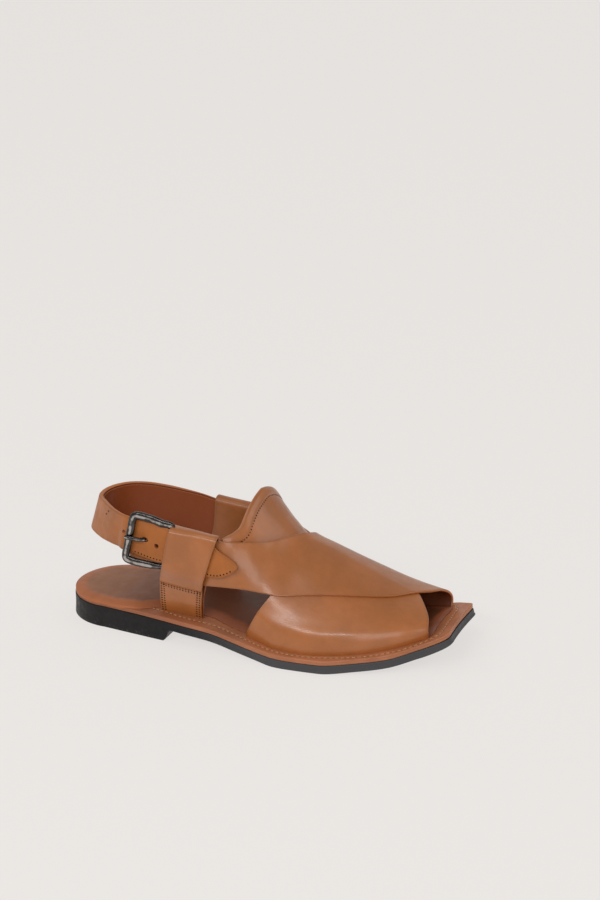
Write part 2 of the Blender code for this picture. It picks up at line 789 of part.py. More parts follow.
def build_prong(parts, cutters, metal):
    rows = [(*row, *PRONG_HALF) for row in smooth_rows(PRONG_PATH, 2)]
    prong = bar("buckle_prong", rows, parts, False)
    x, z, distance = HINGE
    along, up, out = side_axes(x, z)
    centre = beside_last(x, z, distance)
    ring = []
    for k in range(16):
        angle = 2 * math.pi * k / 16
        ring.append(centre + PRONG_EYE * (math.cos(angle) * along + math.sin(angle) * out))
    eye = wire("prong_eye", ring, PRONG_EYE_WIRE, cutters)
    combine(prong, eye, 'UNION')
    finish(prong, metal)


def main():
    clear_scene()
    parts = new_collection(SHOE)
    cutters = new_collection("cutters")
    tan = material("tan_leather", (0.36, 0.135, 0.052), 0.42)
    lining = material("footbed_leather", (0.24, 0.085, 0.04), 0.5)
    rubber = material("black_rubber", (0.02, 0.018, 0.02), 0.6)
    metal = material("gunmetal", (0.22, 0.22, 0.23), 0.28, 1.0)
    build_outsole(parts, rubber)
    build_midsole(parts, tan)
    build_insole(parts, lining)
    build_upper(parts, cutters, tan)
    build_tongue(parts, tan)
    build_stays(parts, tan)
    build_heel_strap(parts, cutters, tan)
    build_buckle(parts, metal)
    build_prong(parts, cutters, metal)


main()
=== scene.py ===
"""The looks of a right-foot peshawari chappal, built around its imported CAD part.

Sizes are in millimetres in the shoe's own frame: x from the back of the heel to the toe, y from
the outer (lateral, negative) to the inner (medial, positive) side, z up. world() turns them into
the row frame, in metres, with the origin under the middle of the shoe.
"""

import math

import bmesh
import bpy
import numpy as np
from mathutils import Matrix, Vector

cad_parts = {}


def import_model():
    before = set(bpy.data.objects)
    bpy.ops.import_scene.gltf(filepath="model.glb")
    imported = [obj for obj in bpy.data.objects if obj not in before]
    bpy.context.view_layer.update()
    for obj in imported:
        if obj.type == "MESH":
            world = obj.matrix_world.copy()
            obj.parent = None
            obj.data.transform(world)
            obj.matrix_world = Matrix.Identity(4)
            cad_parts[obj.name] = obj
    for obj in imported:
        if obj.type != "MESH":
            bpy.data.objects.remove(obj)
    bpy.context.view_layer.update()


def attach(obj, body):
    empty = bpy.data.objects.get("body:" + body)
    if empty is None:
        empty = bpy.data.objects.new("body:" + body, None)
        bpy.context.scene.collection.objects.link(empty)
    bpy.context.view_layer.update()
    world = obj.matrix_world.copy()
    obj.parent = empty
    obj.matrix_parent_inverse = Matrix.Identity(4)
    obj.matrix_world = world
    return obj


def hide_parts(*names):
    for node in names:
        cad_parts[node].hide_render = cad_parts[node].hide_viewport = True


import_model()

MM = 0.001
LENGTH = 287.0
CENTRE_Y = -1.0
HEEL_DEPTH = 33.0
HEEL_BACK = -1.5
HEEL_FLARE = 1.6
TOE_FLARE = 1.9
TOE_HOLLOW = 2.0
TOE_SKEW = 2.5
GAP = 0.3
SINK = 0.6
LINED_THICK = 2.2
UNDER_THICK = 1.6
OVER_VISIBLE = 1.9
STAY_THICK = 1.8
TONGUE_BAND = (9.0, 7.0)
INSOLE_THICK = 2.6
INSOLE_ROLL = 9.0
INNER_LEAF = -1.4
OUTER_FOOT = 1.15
SEAM_DROP = 16.0
FOLD_RISE = 2.8
COVER_EASE = 0.9
OUTER_SIDE = -1
INNER_SIDE = 1
LINING_THICK = 0.72
LEATHER_FACE = 0.75
WELT_GAP = 0.12
GROOVE_DEPTH = 0.35
GROOVE_WIDTH = 0.75
PRESSED = 0.1
AWL_DOT_LENGTH = 1.2
# Stitches: the length, width and height of the thread, and the distance from one to the next.
WELT_STITCH = (2.7, 0.75, 0.6)
TONGUE_STITCH = (1.0, 1.15, 0.45)
STAY_STITCH = (1.0, 1.3, 0.4)
TIP_STITCH = (1.1, 1.1, 0.45)
WELT_PITCH = 3.9
TONGUE_PITCH = 2.2
STAY_PITCH = 2.15
TIP_PITCH = 2.5
# The stays' rows of stitches: distances in from the edges, and down from the seam.
STAY_EDGE_ROWS = (1.5, 3.6)
STAY_SEAM_ROWS = (0.0, 2.2)

# Columns: x, lateral edge, medial edge.
SOLE_PLAN = [
    (33, -32.3, 32), (60, -35.8, 33.5), (90, -39.3, 33), (120, -41.5, 34), (150, -46.8, 38),
    (180, -51.5, 44), (205, -50.4, 48.5), (230, -42.4, 51.5), (250, -34.4, 51.8),
    (268, -21.5, 50.2), (287, -12.8, 41),
]
INSOLE_PLAN = [
    (33, -31.8, 31.5), (50, -34, 32.4), (60, -33.5, 31.5), (68, -30, 28), (77, -25.2, 23.6),
    (90, -24.8, 22.8), (112, -24.8, 23.3), (130, -30.2, 27.2), (145, -33.5, 29.6),
    (158, -37.5, 32.6), (172, -41.2, 35.1), (190, -42, 38.1), (215, -37, 41.6), (238, -28.5, 44.1),
    (253, -20, 44.1), (264, -11.6, 42.5), (272.5, -6.4, 40.2),
]

# Columns: x, underside, top of the rubber, top of the midsole.
SOLE_HEIGHTS = [
    (0, 0, 16, 18), (40, 0, 16, 18.1), (60, 0, 15.9, 18.7), (82.4, 0, 15.2, 18.8),
    (89.2, 8.8, 14.8, 18.4), (100, 8, 14, 17.6), (120, 6.6, 12.6, 16.2), (140, 4, 10, 13.6),
    (160, 1.3, 7.4, 11), (172, 0, 6.4, 10), (188, 0, 6.1, 9.7), (206, 0, 6.2, 9.8),
    (225, 1.2, 7.3, 10.9), (250, 4, 10.1, 13.7), (268, 8, 14.1, 17.7), (280, 13.4, 18.6, 22.2),
    (287, 17.8, 22.1, 25.5),
]

# The last, the form the leather is pulled over. Columns: x, lateral foot, medial foot, crest y,
# crest z, lean of the sides, their rise, reach of the crest to each side, and its drop.
LAST = [
    (60, -29.5, 27.5, 4, 165, 14, 42, 42, 12), (90, -27.5, 25.5, 5, 160, 15, 42, 42, 12),
    (110, -27.5, 26, 7, 140, 14, 40, 44, 10), (130, -31, 28, 10, 118, 12, 36, 46, 8),
    (145, -34.5, 30.5, 13, 98, 9, 30, 40, 5), (158, -38.5, 33.5, 14, 80.5, 6, 24, 34, 3),
    (172, -42.3, 36, 13, 68.5, 4, 18, 30, 2), (190, -43, 39, 13, 61.3, 3, 15, 30, 2),
    (215, -38, 42.5, 14, 50.2, 3, 14, 30, 1.5), (238, -29.5, 45, 15, 40.2, 3, 13, 28, 1.5),
    (253, -21, 45, 16, 34.6, 3, 11, 26, 1), (264, -13, 43.5, 17, 32, 3, 9, 22, 1),
    (275, -5, 39, 18, 30.2, 2, 8, 18, 1),
]

# Straps on the last. A place is x and round: -1 the lateral foot, 0 the crest, 1 the medial foot.
# Columns: front edge x, front edge round, rear edge x, rear edge round.
OVER_STRAP = [
    (266.5, 1, 148, 1), (266, 0.8, 155, 0.76), (264.7, 0.58, 163, 0.5), (261.8, 0.37, 170, 0.27),
    (258.5, 0.16, 172, 0.1), (250, -0.01, 168, -0.03), (238, -0.19, 160, -0.19),
    (218, -0.325, 150, -0.33), (190, -0.45, 138, -0.43), (160, -0.59, 126, -0.5),
    (131, -0.727, 113, -0.545), (111, -0.785, 102, -0.575), (95, -0.75, 92, -0.59),
    (80, -0.749, 79, -0.587), (70, -0.746, 70, -0.585), (64, -0.744, 64, -0.6),
    (61.5, -0.735, 61.5, -0.65),
]
UNDER_STRAP = [
    (270, -1, 146, -1), (270, -0.76, 153, -0.84), (268.5, -0.45, 159, -0.7),
    (264, -0.22, 167, -0.5), (256, -0.02, 174, -0.24), (245, 0.13, 177, 0.02),
    (226, 0.3, 171, 0.24), (196, 0.46, 154, 0.4), (162, 0.62, 141, 0.5), (132, 0.74, 124, 0.575),
    (110, 0.79, 108, 0.63), (97, 0.78, 97, 0.655),
]

# Columns: round, rear edge x, front edge x.
TONGUE = [
    (-0.6, 136, 150), (-0.53, 129.4, 162), (-0.48, 129.2, 168), (-0.437, 132.4, 173),
    (-0.39, 136.1, 179), (-0.32, 139.3, 184), (-0.2, 140.4, 190), (-0.05, 141.1, 192),
    (0.1, 141.3, 192), (0.22, 141, 190), (0.34, 141, 186), (0.44, 138, 180), (0.52, 133, 172),
    (0.58, 128.5, 162), (0.64, 126.5, 150),
]

# Upright stays. Columns: z, rear edge x, front edge x.
LATERAL_STAY = [
    (20, 78.2, 109.3), (44, 82.3, 116.1), (62, 89.5, 123.5), (92, 97, 130.1),
]
MEDIAL_STAY = [
    (20, 80.5, 110), (45, 88, 117.5), (62, 91.5, 122), (80, 92.5, 125.5),
]
LATERAL_STAY_TOP = (89.4, 83.5)
MEDIAL_STAY_TOP = (80, 75.5)
# The height where the tunnel for the heel strap ends, at a stay's rear edge and its front edge.
LATERAL_POCKET = (61.5, 57)
MEDIAL_POCKET = (45.5, 45.5)

# Heel strap where it lies along the side of the last. Columns: x at its middle, z at its middle,
# half width, how far its upper edge leans forward, distance of its inner face from the last.
BUCKLED_SIDE = [
    (141.5, 62.5, 0.6, 0, 3.8), (139.1, 62.7, 3.1, 0.5, 3.7), (134.4, 63.2, 6.3, 1.5, 3.4),
    (129.2, 64.3, 8.8, 2.5, 3.1), (123.7, 66.3, 10.6, 4, 3), (118, 68.2, 11.4, 4.5, 3.2),
    (112, 70, 11.4, 5.5, 3.9), (104, 72, 11.3, 6, 5.5), (96, 74.8, 12, 6, 6.6),
    (88, 75.8, 12.8, 6, 6.1), (81, 76.9, 13.2, 6, 5.1), (74.5, 77.8, 13.1, 6, 3.9),
    (68, 78.6, 12.6, 6, 3.1), (61, 79.9, 12.4, 6, 3),
]
SEWN_SIDE = [
    (79, 63.9, 14.9, 2, 2.5), (91, 61.8, 14.6, 2, 2.4), (103, 59.6, 14.1, 2, 2.4),
    (114, 57.7, 13.7, 2, 2.4),
]
# Its way round the back of the heel, inner face. Columns: lower edge x, y, z, upper edge x, y, z,
# thickness.
HEEL_LOOP = [
    (52.5, -33.6, 66.3, 58, -34.8, 92.2, 2.5), (43.5, -27.3, 65, 49.5, -28.1, 91, 3),
    (33.8, -19.2, 63, 40.8, -19.6, 89.6, 3.6), (24, -10.1, 61.5, 32, -10.1, 88.2, 4),
    (16.2, -2, 60.8, 24.6, -1.5, 86.8, 4), (13.6, 5.1, 60.4, 22.2, 5.7, 86.1, 4),
    (14.8, 12.2, 59.6, 22.2, 13.2, 85.8, 4), (19.4, 19.6, 58.4, 25.4, 20.6, 85.8, 4),
    (28, 27.1, 56.8, 32, 27.9, 85.4, 4), (39.5, 32.2, 54.6, 42.5, 32.8, 84.4, 4),
    (52.7, 35.3, 52.4, 55.2, 35.9, 82.6, 3.8), (66, 37, 50.6, 68.2, 37.6, 80.7, 3.2),
]

# Buckle, beside the last. Columns: x, z, distance of the bar's middle from the last, half its
# width and half its depth.
BUCKLE_FRAME = [
    (62.6, 71, 7.6, 2.7, 1.75), (64.8, 78.5, 7.6, 2.7, 1.75), (66.7, 86, 7.6, 2.7, 1.75),
    (67.8, 91, 7.5, 2.75, 1.8), (69.6, 93.9, 7.6, 2.8, 1.85), (73.2, 94.5, 7.8, 2.9, 1.85),
    (78.5, 93.8, 8, 2.9, 1.85), (84.5, 92.6, 7.8, 2.8, 1.8), (89.6, 90.7, 7.2, 2.9, 1.7),
    (96, 89.5, 6.4, 2.5, 1.5), (97.4, 87.4, 5.6, 1.35, 1.2), (97.2, 84.2, 4.7, 1.2, 1.1),
    (96.4, 80.6, 3.9, 1.05, 1), (96.2, 74.5, 3.8, 1.05, 1), (94.1, 65, 3.8, 1.05, 1),
    (92.9, 61, 3.9, 1.2, 1.05), (90.2, 59.2, 4.6, 1.5, 1.25), (86, 58.9, 6, 2.1, 1.5),
    (79, 59.9, 7.5, 2.65, 1.75), (71, 60.7, 7.9, 2.9, 1.8), (64.8, 61.6, 7.6, 2.9, 1.8),
    (61.5, 62.9, 7.5, 2.8, 1.8), (61.2, 65.8, 7.5, 2.7, 1.75),
]
PRONG_HALF = (1.4, 1)
PRONG_PATH = [
    (94.3, 74.7, 3.8), (88, 75.6, 3.7), (81.6, 76.6, 3.7), (78.4, 77.1, 4.3), (76.6, 77.5, 5.9),
    (75, 77.9, 7.8), (72.8, 78.3, 9.3), (69.6, 78.8, 10.2), (66, 79.2, 10.6), (62.3, 79.6, 10.6),
]
# Holes in the heel strap. Columns: x, z, half length, half height, distance from the last.
STRAP_HOLES = [
    (85.3, 74.6, 1.55, 1.55, 6.8), (75.9, 77.6, 2.4, 1.5, 5.6), (59.6, 80.8, 1.2, 1.2, 3.9),
]
# Creases worked into the leather: a line of points, the crease's width and its height.
UNDER_CREASES = [
    ([(158, -39.5, 32), (171, -41.8, 27), (190, -42.2, 24.5), (205, -40, 23.8), (231, -31, 25.2),
      (252, -19, 26.8), (266, -10, 29)], 5, 0.9),
]
OVER_CREASES = [
    ([(168, -4.5, 70.6), (171, -14.6, 62.7), (175.6, -28.4, 48.5)], 6, -0.35),
    ([(131.5, -35.5, 74), (134.5, -33, 77.5)], 5, 0.5),
]
HEEL_CREASES = [
    ([(20.5, -5, 76), (22.5, -10.5, 73.6), (24.5, -13, 71.5)], 1, -0.45),
    ([(128.2, -39.5, 72), (126.8, -40.5, 64)], 1.3, -0.4),
]
# Two awl marks near the back of the heel strap: place and direction out.
AWL_DOTS = [
    ((39.6, -24.4, 86.8), (-0.67, -0.72, 0.16)),
    ((36.3, -22, 83.2), (-0.68, -0.72, 0.17)),
]
# The line of the welt's stitches, seen from above. Columns: x, y.
WELT_STITCHES = [
    (62, -25), (67, -27), (82, -30.5), (96, -33), (121, -34.5), (138, -38), (156, -43),
    (172, -46.3), (186, -47.2), (200, -46), (213, -43), (227, -39.5), (241, -34.5), (258, -25),
    (268, -17), (275, -9.5), (277.5, -4), (276, 10), (274.5, 25), (272.6, 39), (268, 43.8),
    (260, 45.4), (250, 46), (230, 46.2), (205, 43.8), (180, 39.6), (150, 34.2), (120, 30.2),
    (95, 28.5), (80, 27.5), (67, 25.5),
]

# The camera's place in metres, its azimuth, elevation and roll in degrees, and its lens.
CAMERA_PLACE = (0.7891, -1.5822, 0.8655)
CAMERA_TURN = (25.5, 22.46, -3.05)
LENS = 112.6
SENSOR = 36.0
# Softboxes, in metres, all turned to LAMP_AIM. Columns: place, width, height, watts.
LAMP_AIM = (0, 0, 0.03)
LAMPS = [
    ((-0.3, -1.65, 1.38), 1.8, 0.2, 15),
    ((0.95, -1.7, 0.8), 0.9, 0.8, 7),
    ((-1.6, 0.22, 1.5), 0.8, 0.6, 3),
    ((-0.5, -0.4, 2.1), 1.3, 0.6, 4),
    ((1.8, 0.5, 1.2), 1.5, 1.0, 7),
    ((-0.6, 2.4, 1.1), 3.0, 1.6, 6),
]
FLOOR_REACH = 30.0
FLOOR_GLOW = 0.82
STUDIO_COLOUR = (1.0, 0.985, 0.96, 1)
STUDIO_GLOW = 0.4


# Curves and surfaces, on arrays of points.
def through(knots, values, at):
    """Smooth values through the given ones at their knots, without overshoot."""
    knots = np.asarray(knots, float)
    values = np.asarray(values, float)
    flat = values.reshape(len(knots), -1)
    step = np.diff(knots)[:, None]
    rise = np.diff(flat, axis=0) / step
    slope = np.zeros_like(flat)
    slope[0] = rise[0]
    slope[-1] = rise[-1]
    first = 2 * step[1:] + step[:-1]
    second = step[1:] + 2 * step[:-1]
    turns = rise[:-1] * rise[1:] <= 0
    before = np.where(turns, 1.0, rise[:-1])
    after = np.where(turns, 1.0, rise[1:])
    slope[1:-1] = np.where(turns, 0.0, (first + second) / (first / before + second / after))
    at = np.asarray(at, float)
    places = at.ravel()
    i = np.clip(np.searchsorted(knots, places) - 1, 0, len(step) - 1)
    t = np.clip((places - knots[i]) / step[i, 0], 0, 1)[:, None]
    found = (1 + 2 * t) * (1 - t) ** 2 * flat[i] + t * (1 - t) ** 2 * step[i] * slope[i]
    found += t * t * (3 - 2 * t) * flat[i + 1] - t * t * (1 - t) * step[i] * slope[i + 1]
    return found.reshape(at.shape + values.shape[1:])


def column(table, index):
    """A table's column as a smooth function of its first column."""
    rows = np.array(table, float)
    return lambda x: through(rows[:, 0], rows[:, index], x)


def smooth_rows(rows, per_row, closed=False):
    """Catmull-Rom rows between the given rows, per_row steps to each."""
    rows = np.array(rows, float)
    if closed:
        ends = np.concatenate([rows[-1:], rows, rows[:2]])
    else:
        ends = np.concatenate([2 * rows[:1] - rows[1:2], rows, 2 * rows[-1:] - rows[-2:-1]])
    a, b, c, d = ends[:-3], ends[1:-2], ends[2:-1], ends[3:]
    out = []
    for k in range(per_row):
        t = k / per_row
        out.append(0.5 * (2 * b + (c - a) * t + (2 * a - 5 * b + 4 * c - d) * t * t
                          + (3 * b - a - 3 * c + d) * t ** 3))
    out = np.stack(out, 1).reshape((-1,) + rows.shape[1:])
    return out if closed else np.concatenate([out, rows[-1:]])


def ramp(value, low, high):
    """A smooth step from 0 at low to 1 at high."""
    t = np.clip((value - low) / (high - low), 0.0, 1.0)
    return t * t * (3 - 2 * t)


def bell(value, middle, width):
    return np.exp(-((value - middle) / width) ** 2)


def lengths(points):
    """Distance along a line of points from its first."""
    steps = np.linalg.norm(np.diff(points, axis=0), axis=-1)
    return np.concatenate([[0.0], np.cumsum(steps)])


def part_way(at, far, values):
    """Values, in columns, at distances along a line whose points lie at the distances far."""
    return np.stack([np.interp(at, far, values[:, k]) for k in range(values.shape[1])], -1)


UNDERSIDE = column(SOLE_HEIGHTS, 1)
RUBBER_TOP = column(SOLE_HEIGHTS, 2)
MIDSOLE_TOP = column(SOLE_HEIGHTS, 3)
LAST_CURVES = [column(LAST, index) for index in range(1, 9)]


def on_last(x, turn):
    x, turn = np.broadcast_arrays(np.asarray(x, float), np.asarray(turn, float))
    lateral, medial, crest_y, crest_z, lean, rise, reach, drop = [c(x) for c in LAST_CURVES]
    side = np.where(turn < 0, -1.0, 1.0)
    w = 1 - np.abs(turn)
    foot_y = np.where(turn < 0, lateral, medial)
    foot_z = MIDSOLE_TOP(x) + GAP
    ys = (foot_y, foot_y + side * lean, crest_y + side * reach, crest_y)
    zs = (foot_z, foot_z + rise, crest_z - drop, crest_z)
    weights = ((1 - w) ** 3, 3 * w * (1 - w) ** 2, 3 * w * w * (1 - w), w ** 3)
    y = sum(k * v for k, v in zip(weights, ys))
    z = sum(k * v for k, v in zip(weights, zs))
    return np.stack([x, y, z], -1)


def unit(vectors):
    return vectors / np.linalg.norm(vectors, axis=-1, keepdims=True)


def last_normal(x, turn):
    along = on_last(x + 0.5, turn) - on_last(x - 0.5, turn)
    low = np.maximum(turn - 0.01, -1.0)
    high = np.minimum(turn + 0.01, 1.0)
    return unit(np.cross(along, on_last(x, high) - on_last(x, low)))


def off_last(x, turn, distance):
    x, turn, distance = np.broadcast_arrays(np.asarray(x, float), turn, distance)
    return on_last(x, turn) + distance[..., None] * last_normal(x, turn)


def turn_at(x, z, side):
    """How far round the last its side reaches the height z."""
    x, z = np.broadcast_arrays(np.asarray(x, float), np.asarray(z, float))
    low = np.zeros(x.shape)
    high = np.ones(x.shape)
    for _ in range(26):
        middle = (low + high) / 2
        below = on_last(x, side * (1 - middle))[..., 2] < z
        low = np.where(below, middle, low)
        high = np.where(below, high, middle)
    return side * (1 - (low + high) / 2)


def beside_last(x, z, distance, side=OUTER_SIDE):
    return off_last(x, turn_at(x, z, side), np.asarray(distance, float))


# Meshes.
def world(points):
    return (np.asarray(points, float) - (LENGTH / 2, CENTRE_Y, 0)) * MM


def link(item):
    bpy.context.scene.collection.objects.link(item)
    return item


def turn_faces_out(mesh, weld=None):
    """Turns a mesh's faces outwards, after joining its points that are nearer than weld."""
    tidy = bmesh.new()
    tidy.from_mesh(mesh)
    if weld:
        bmesh.ops.remove_doubles(tidy, verts=tidy.verts, dist=weld)
    bmesh.ops.recalc_face_normals(tidy, faces=tidy.faces)
    tidy.to_mesh(mesh)
    tidy.free()


def new_mesh(name, points, faces, marks=None, node=None):
    """A smooth mesh object on the frame. marks are its named values, one for each point."""
    mesh = bpy.data.meshes.new(name)
    mesh.from_pydata(world(points).tolist(), [], faces)
    for key, values in (marks or {}).items():
        mesh.attributes.new(key, 'FLOAT', 'POINT').data.foreach_set("value", values.ravel())
    turn_faces_out(mesh, weld=1e-6)
    mesh.shade_smooth()
    made = link(bpy.data.objects.new(name, mesh))
    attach(made, "root")
    if node:
        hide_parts(node)
    return made


def paint(item, material):
    item.data.materials.clear()
    item.data.materials.append(material)


def tube_faces(rows, loop, capped=True):
    """Faces round rows of closed loops; a cap joins a loop's first half to its second."""
    a = np.arange(rows - 1)[:, None] * loop + np.arange(loop)
    b = np.arange(rows - 1)[:, None] * loop + (np.arange(loop) + 1) % loop
    faces = np.stack([a, b, b + loop, a + loop], -1).reshape(-1, 4).tolist()
    if capped:
        for start in (0, (rows - 1) * loop):
            for k in range(loop // 2 - 1):
                faces.append([start + k, start + k + 1, start + loop - 2 - k, start + loop - 1 - k])
    return faces


def inset(e, radius):
    """How far a rounded edge has fallen back at a distance e from it."""
    return radius - np.sqrt(np.maximum(radius ** 2 - np.maximum(radius - e, 0) ** 2, 0))


def creased(points, creases):
    """Heights of soft ridges, and of troughs where a crease's height is negative."""
    rise = np.zeros(points.shape[:-1])
    for line, width, height in creases:
        away = np.full(rise.shape, 1e9)
        for first, last in zip(np.array(line[:-1], float), np.array(line[1:], float)):
            reach = last - first
            share = np.clip((points - first) @ reach / (reach @ reach), 0, 1)
            step = np.linalg.norm(points - first - share[..., None] * reach, axis=-1)
            away = np.minimum(away, step)
        rise += height * np.exp(-(away / width) ** 2)
    return rise


class Strip:
    """A strip of leather on a grid of points and normals: rows along it, columns across it.

    low and high are the distances of its two faces from the grid. Each is a number or a function
    of the distances along it, from its first edge and from its last edge. rounds are how far its
    two edges are rounded, and feet are the ends that run down into the welt.
    """

    def __init__(self, grid, normals, low, high, rounds=(0.6, 0.6), columns=60, feet=(),
                 creases=()):
        widths = [lengths(row) for row in grid]
        width = np.array([w[-1] for w in widths])[:, None]
        q = lengths(grid[:, grid.shape[1] // 2])[:, None]
        arc = 1 - np.cos(np.linspace(0, math.pi / 2, 6))
        first = arc * rounds[0] * np.minimum(1, width / (3 * rounds[0]))
        last = arc[::-1] * rounds[1] * np.minimum(1, width / (3 * rounds[1]))
        share = np.linspace(0, 1, columns)[1:-1]
        left = first[:, -1:]
        right = width - last[:, :1]
        a = np.concatenate([first, left + (right - left) * share, width - last], 1)
        b = width - a
        base = np.empty(a.shape + (3,))
        out = np.empty(a.shape + (3,))
        for i, w in enumerate(widths):
            base[i] = part_way(a[i], w, grid[i])
            out[i] = part_way(a[i], w, normals[i])
        out = unit(out)
        tops = high(q, a, b) if callable(high) else np.full(a.shape, float(high))
        lows = low(q, a, b) if callable(low) else np.full(a.shape, float(low))
        room = (tops - lows) / 2
        fall = np.minimum(inset(a, rounds[0]) + inset(b, rounds[1]), 0.98 * room)
        tops = tops + creased(base, creases)
        outer = base + (tops - fall)[..., None] * out
        inner = base + (lows + fall)[..., None] * out
        for end in feet:
            outer, inner, a, b, q, out = (
                np.concatenate((rows[:1], rows) if end == 0 else (rows, rows[-1:]))
                for rows in (outer, inner, a, b, q, out)
            )
            for face in (outer, inner):
                face[end, :, 2] = MIDSOLE_TOP(face[end, :, 0]) - SINK
        self.outer, self.inner, self.out = outer, inner, out
        self.a, self.b, self.q = a, b, q[:, 0]

    def mesh(self, name, node=None, slot=None):
        points = np.concatenate([self.outer, self.inner[:, ::-1]], 1)
        edge = np.minimum(self.a, self.b)
        marks = {
            "edge": np.concatenate([edge, edge[:, ::-1]], 1),
            "face": np.concatenate([np.ones(edge.shape), np.zeros(edge.shape)], 1),
        }
        faces = tube_faces(len(points), points.shape[1])
        return new_mesh(name, points.reshape(-1, 3), faces, marks, node)

    def place(self, q, a, from_last=False):
        """Points and normals on the outer face at distances along it and from one edge."""
        q, a = np.broadcast_arrays(np.asarray(q, float), np.asarray(a, float))
        row = np.interp(q, self.q, np.arange(len(self.q)))
        far, values = self.a, np.concatenate([self.outer, self.out], -1)
        if from_last:
            far, values = self.b[:, ::-1], values[:, ::-1]
        found = []
        for r, distance in zip(row, a):
            i = int(min(r, len(self.q) - 2))
            before, after = (part_way(distance, far[k], values[k]) for k in (i, i + 1))
            found.append(before * (1 - (r - i)) + after * (r - i))
        found = np.array(found)
        return found[:, :3], unit(found[:, 3:])


def grid_normals(grid, flip=False):
    normal = np.cross(np.gradient(grid, axis=0), np.gradient(grid, axis=1))
    return unit(-normal if flip else normal)


def even_rows(rows, step):
    """Rows at even distances along a smooth sheet through the given rows."""
    middle = rows[:, rows.shape[1] // 2]
    knots = lengths(middle)
    count = int(knots[-1] / step) + 2
    return through(knots, rows, np.linspace(0, knots[-1], count))


def stitches(name, runs, size, material):
    """Thread along runs of points and normals, each run with its pitch. size is a stitch's length,
    width and height."""
    long, wide, high = size
    sides = 8
    along = np.linspace(-1, 1, 9)
    round_ = np.linspace(0, 2 * math.pi, sides + 1)[:-1]
    swell = np.sqrt(np.maximum(1 - np.abs(along) ** 2.6, 0.0004))
    points, faces, base = [], [], 0
    for line, normals, pitch in runs:
        far = lengths(line)
        count = max(int(far[-1] / pitch), 1)
        for k in range(count):
            at = (k + 0.5) * far[-1] / count
            centre = part_way(at, far, line)
            out = unit(part_way(at, far, normals))
            forth = unit(part_way(at + 0.4, far, line) - part_way(at - 0.4, far, line))
            side = unit(np.cross(out, forth))
            rise = high * (1 - 1.1 * along ** 4) * 0.35
            ring = centre + along[:, None, None] * long / 2 * forth
            ring = ring + (swell[:, None] * np.cos(round_))[..., None] * wide / 2 * side
            lifted = (swell[:, None] * np.sin(round_)) * high / 2 + rise[:, None]
            points.append((ring + lifted[..., None] * out).reshape(-1, 3))
            faces += [[base + i for i in f] for f in tube_faces(len(along), sides, False)]
            last = base + (len(along) - 1) * sides
            faces += [list(range(base, base + sides)), list(range(last, last + sides))]
            base = last + sides
    paint(new_mesh(name, np.concatenate(points), faces), material)


# Materials.
def srgb(red, green, blue):
    """A colour given as 0 to 255 on a screen, in the renderer's linear values."""
    shares = [c / 255 for c in (red, green, blue)]
    return tuple(c / 12.92 if c < 0.04045 else ((c + 0.055) / 1.055) ** 2.4 for c in shares) + (1,)


class Graph:
    """A material made of nodes. Patterns are placed by object coordinates, in metres."""

    def __init__(self, name, roughness, coat=0.0, specular=0.5):
        self.material = bpy.data.materials.new(name)
        self.material.use_nodes = True
        self.tree = self.material.node_tree
        self.shader = self.tree.nodes["Principled BSDF"]
        settings = {"Roughness": roughness, "Coat Weight": coat, "Coat Roughness": 0.2,
                    "Specular IOR Level": specular}
        for key, value in settings.items():
            self.shader.inputs[key].default_value = value
        self.place = self.add('TexCoord').outputs["Object"]

    def along(self):
        """Distance towards the toe from the middle of the shoe."""
        return self.add('SeparateXYZ', {0: self.place}).outputs[0]

    def put(self, socket, value):
        if isinstance(value, bpy.types.NodeSocket):
            self.tree.links.new(value, socket)
        else:
            socket.default_value = value

    def add(self, kind, inputs=None, **settings):
        made = self.tree.nodes.new("ShaderNode" + kind)
        for key, value in settings.items():
            setattr(made, key, value)
        for key, value in (inputs or {}).items():
            self.put(made.inputs[key], value)
        return made

    def noise(self, scale, detail=3.0, distortion=0.0, stretch=None):
        place = self.place
        if stretch:
            place = self.add('Mapping', {"Vector": place, "Scale": stretch}).outputs[0]
        values = {"Vector": place, "Scale": scale, "Detail": detail, "Distortion": distortion}
        return self.add('TexNoise', values).outputs[0]

    def cells(self, scale):
        values = {"Vector": self.place, "Scale": scale}
        return self.add('TexVoronoi', values).outputs["Distance"]

    def remap(self, value, low=0.3, high=0.7, first=0.0, last=1.0):
        values = {"Value": value, "From Min": low, "From Max": high,
                  "To Min": first, "To Max": last}
        made = self.add('MapRange', values, interpolation_type='SMOOTHSTEP')
        return made.outputs["Result"]

    def spots(self, scale, first, last, detail=4.0):
        """A cloudy pattern that wanders from one value to another."""
        return self.remap(self.noise(scale, detail), first=first, last=last)

    def maths(self, operation, a, b):
        return self.add('Math', {0: a, 1: b}, operation=operation).outputs[0]

    def mix(self, share, a, b, blend='MIX'):
        values = {0: share, 6: a, 7: b}
        made = self.add('Mix', values, data_type='RGBA', blend_type=blend)
        return made.outputs[2]

    def mark(self, name):
        return self.add('Attribute', attribute_name=name).outputs["Fac"]

    def bumps(self, *layers):
        """A surface pressed from patterns, each with its depth in metres and its strength."""
        normal = None
        for height, distance, strength in layers:
            values = {"Height": height, "Distance": distance, "Strength": strength}
            if normal:
                values["Normal"] = normal
            normal = self.add('Bump', values).outputs["Normal"]
        return normal

    def finish(self, colour, roughness=None, normal=None):
        self.put(self.shader.inputs["Base Color"], colour)
        if roughness:
            self.put(self.shader.inputs["Roughness"], roughness)
        if normal:
            self.put(self.shader.inputs["Normal"], normal)
        return self.material


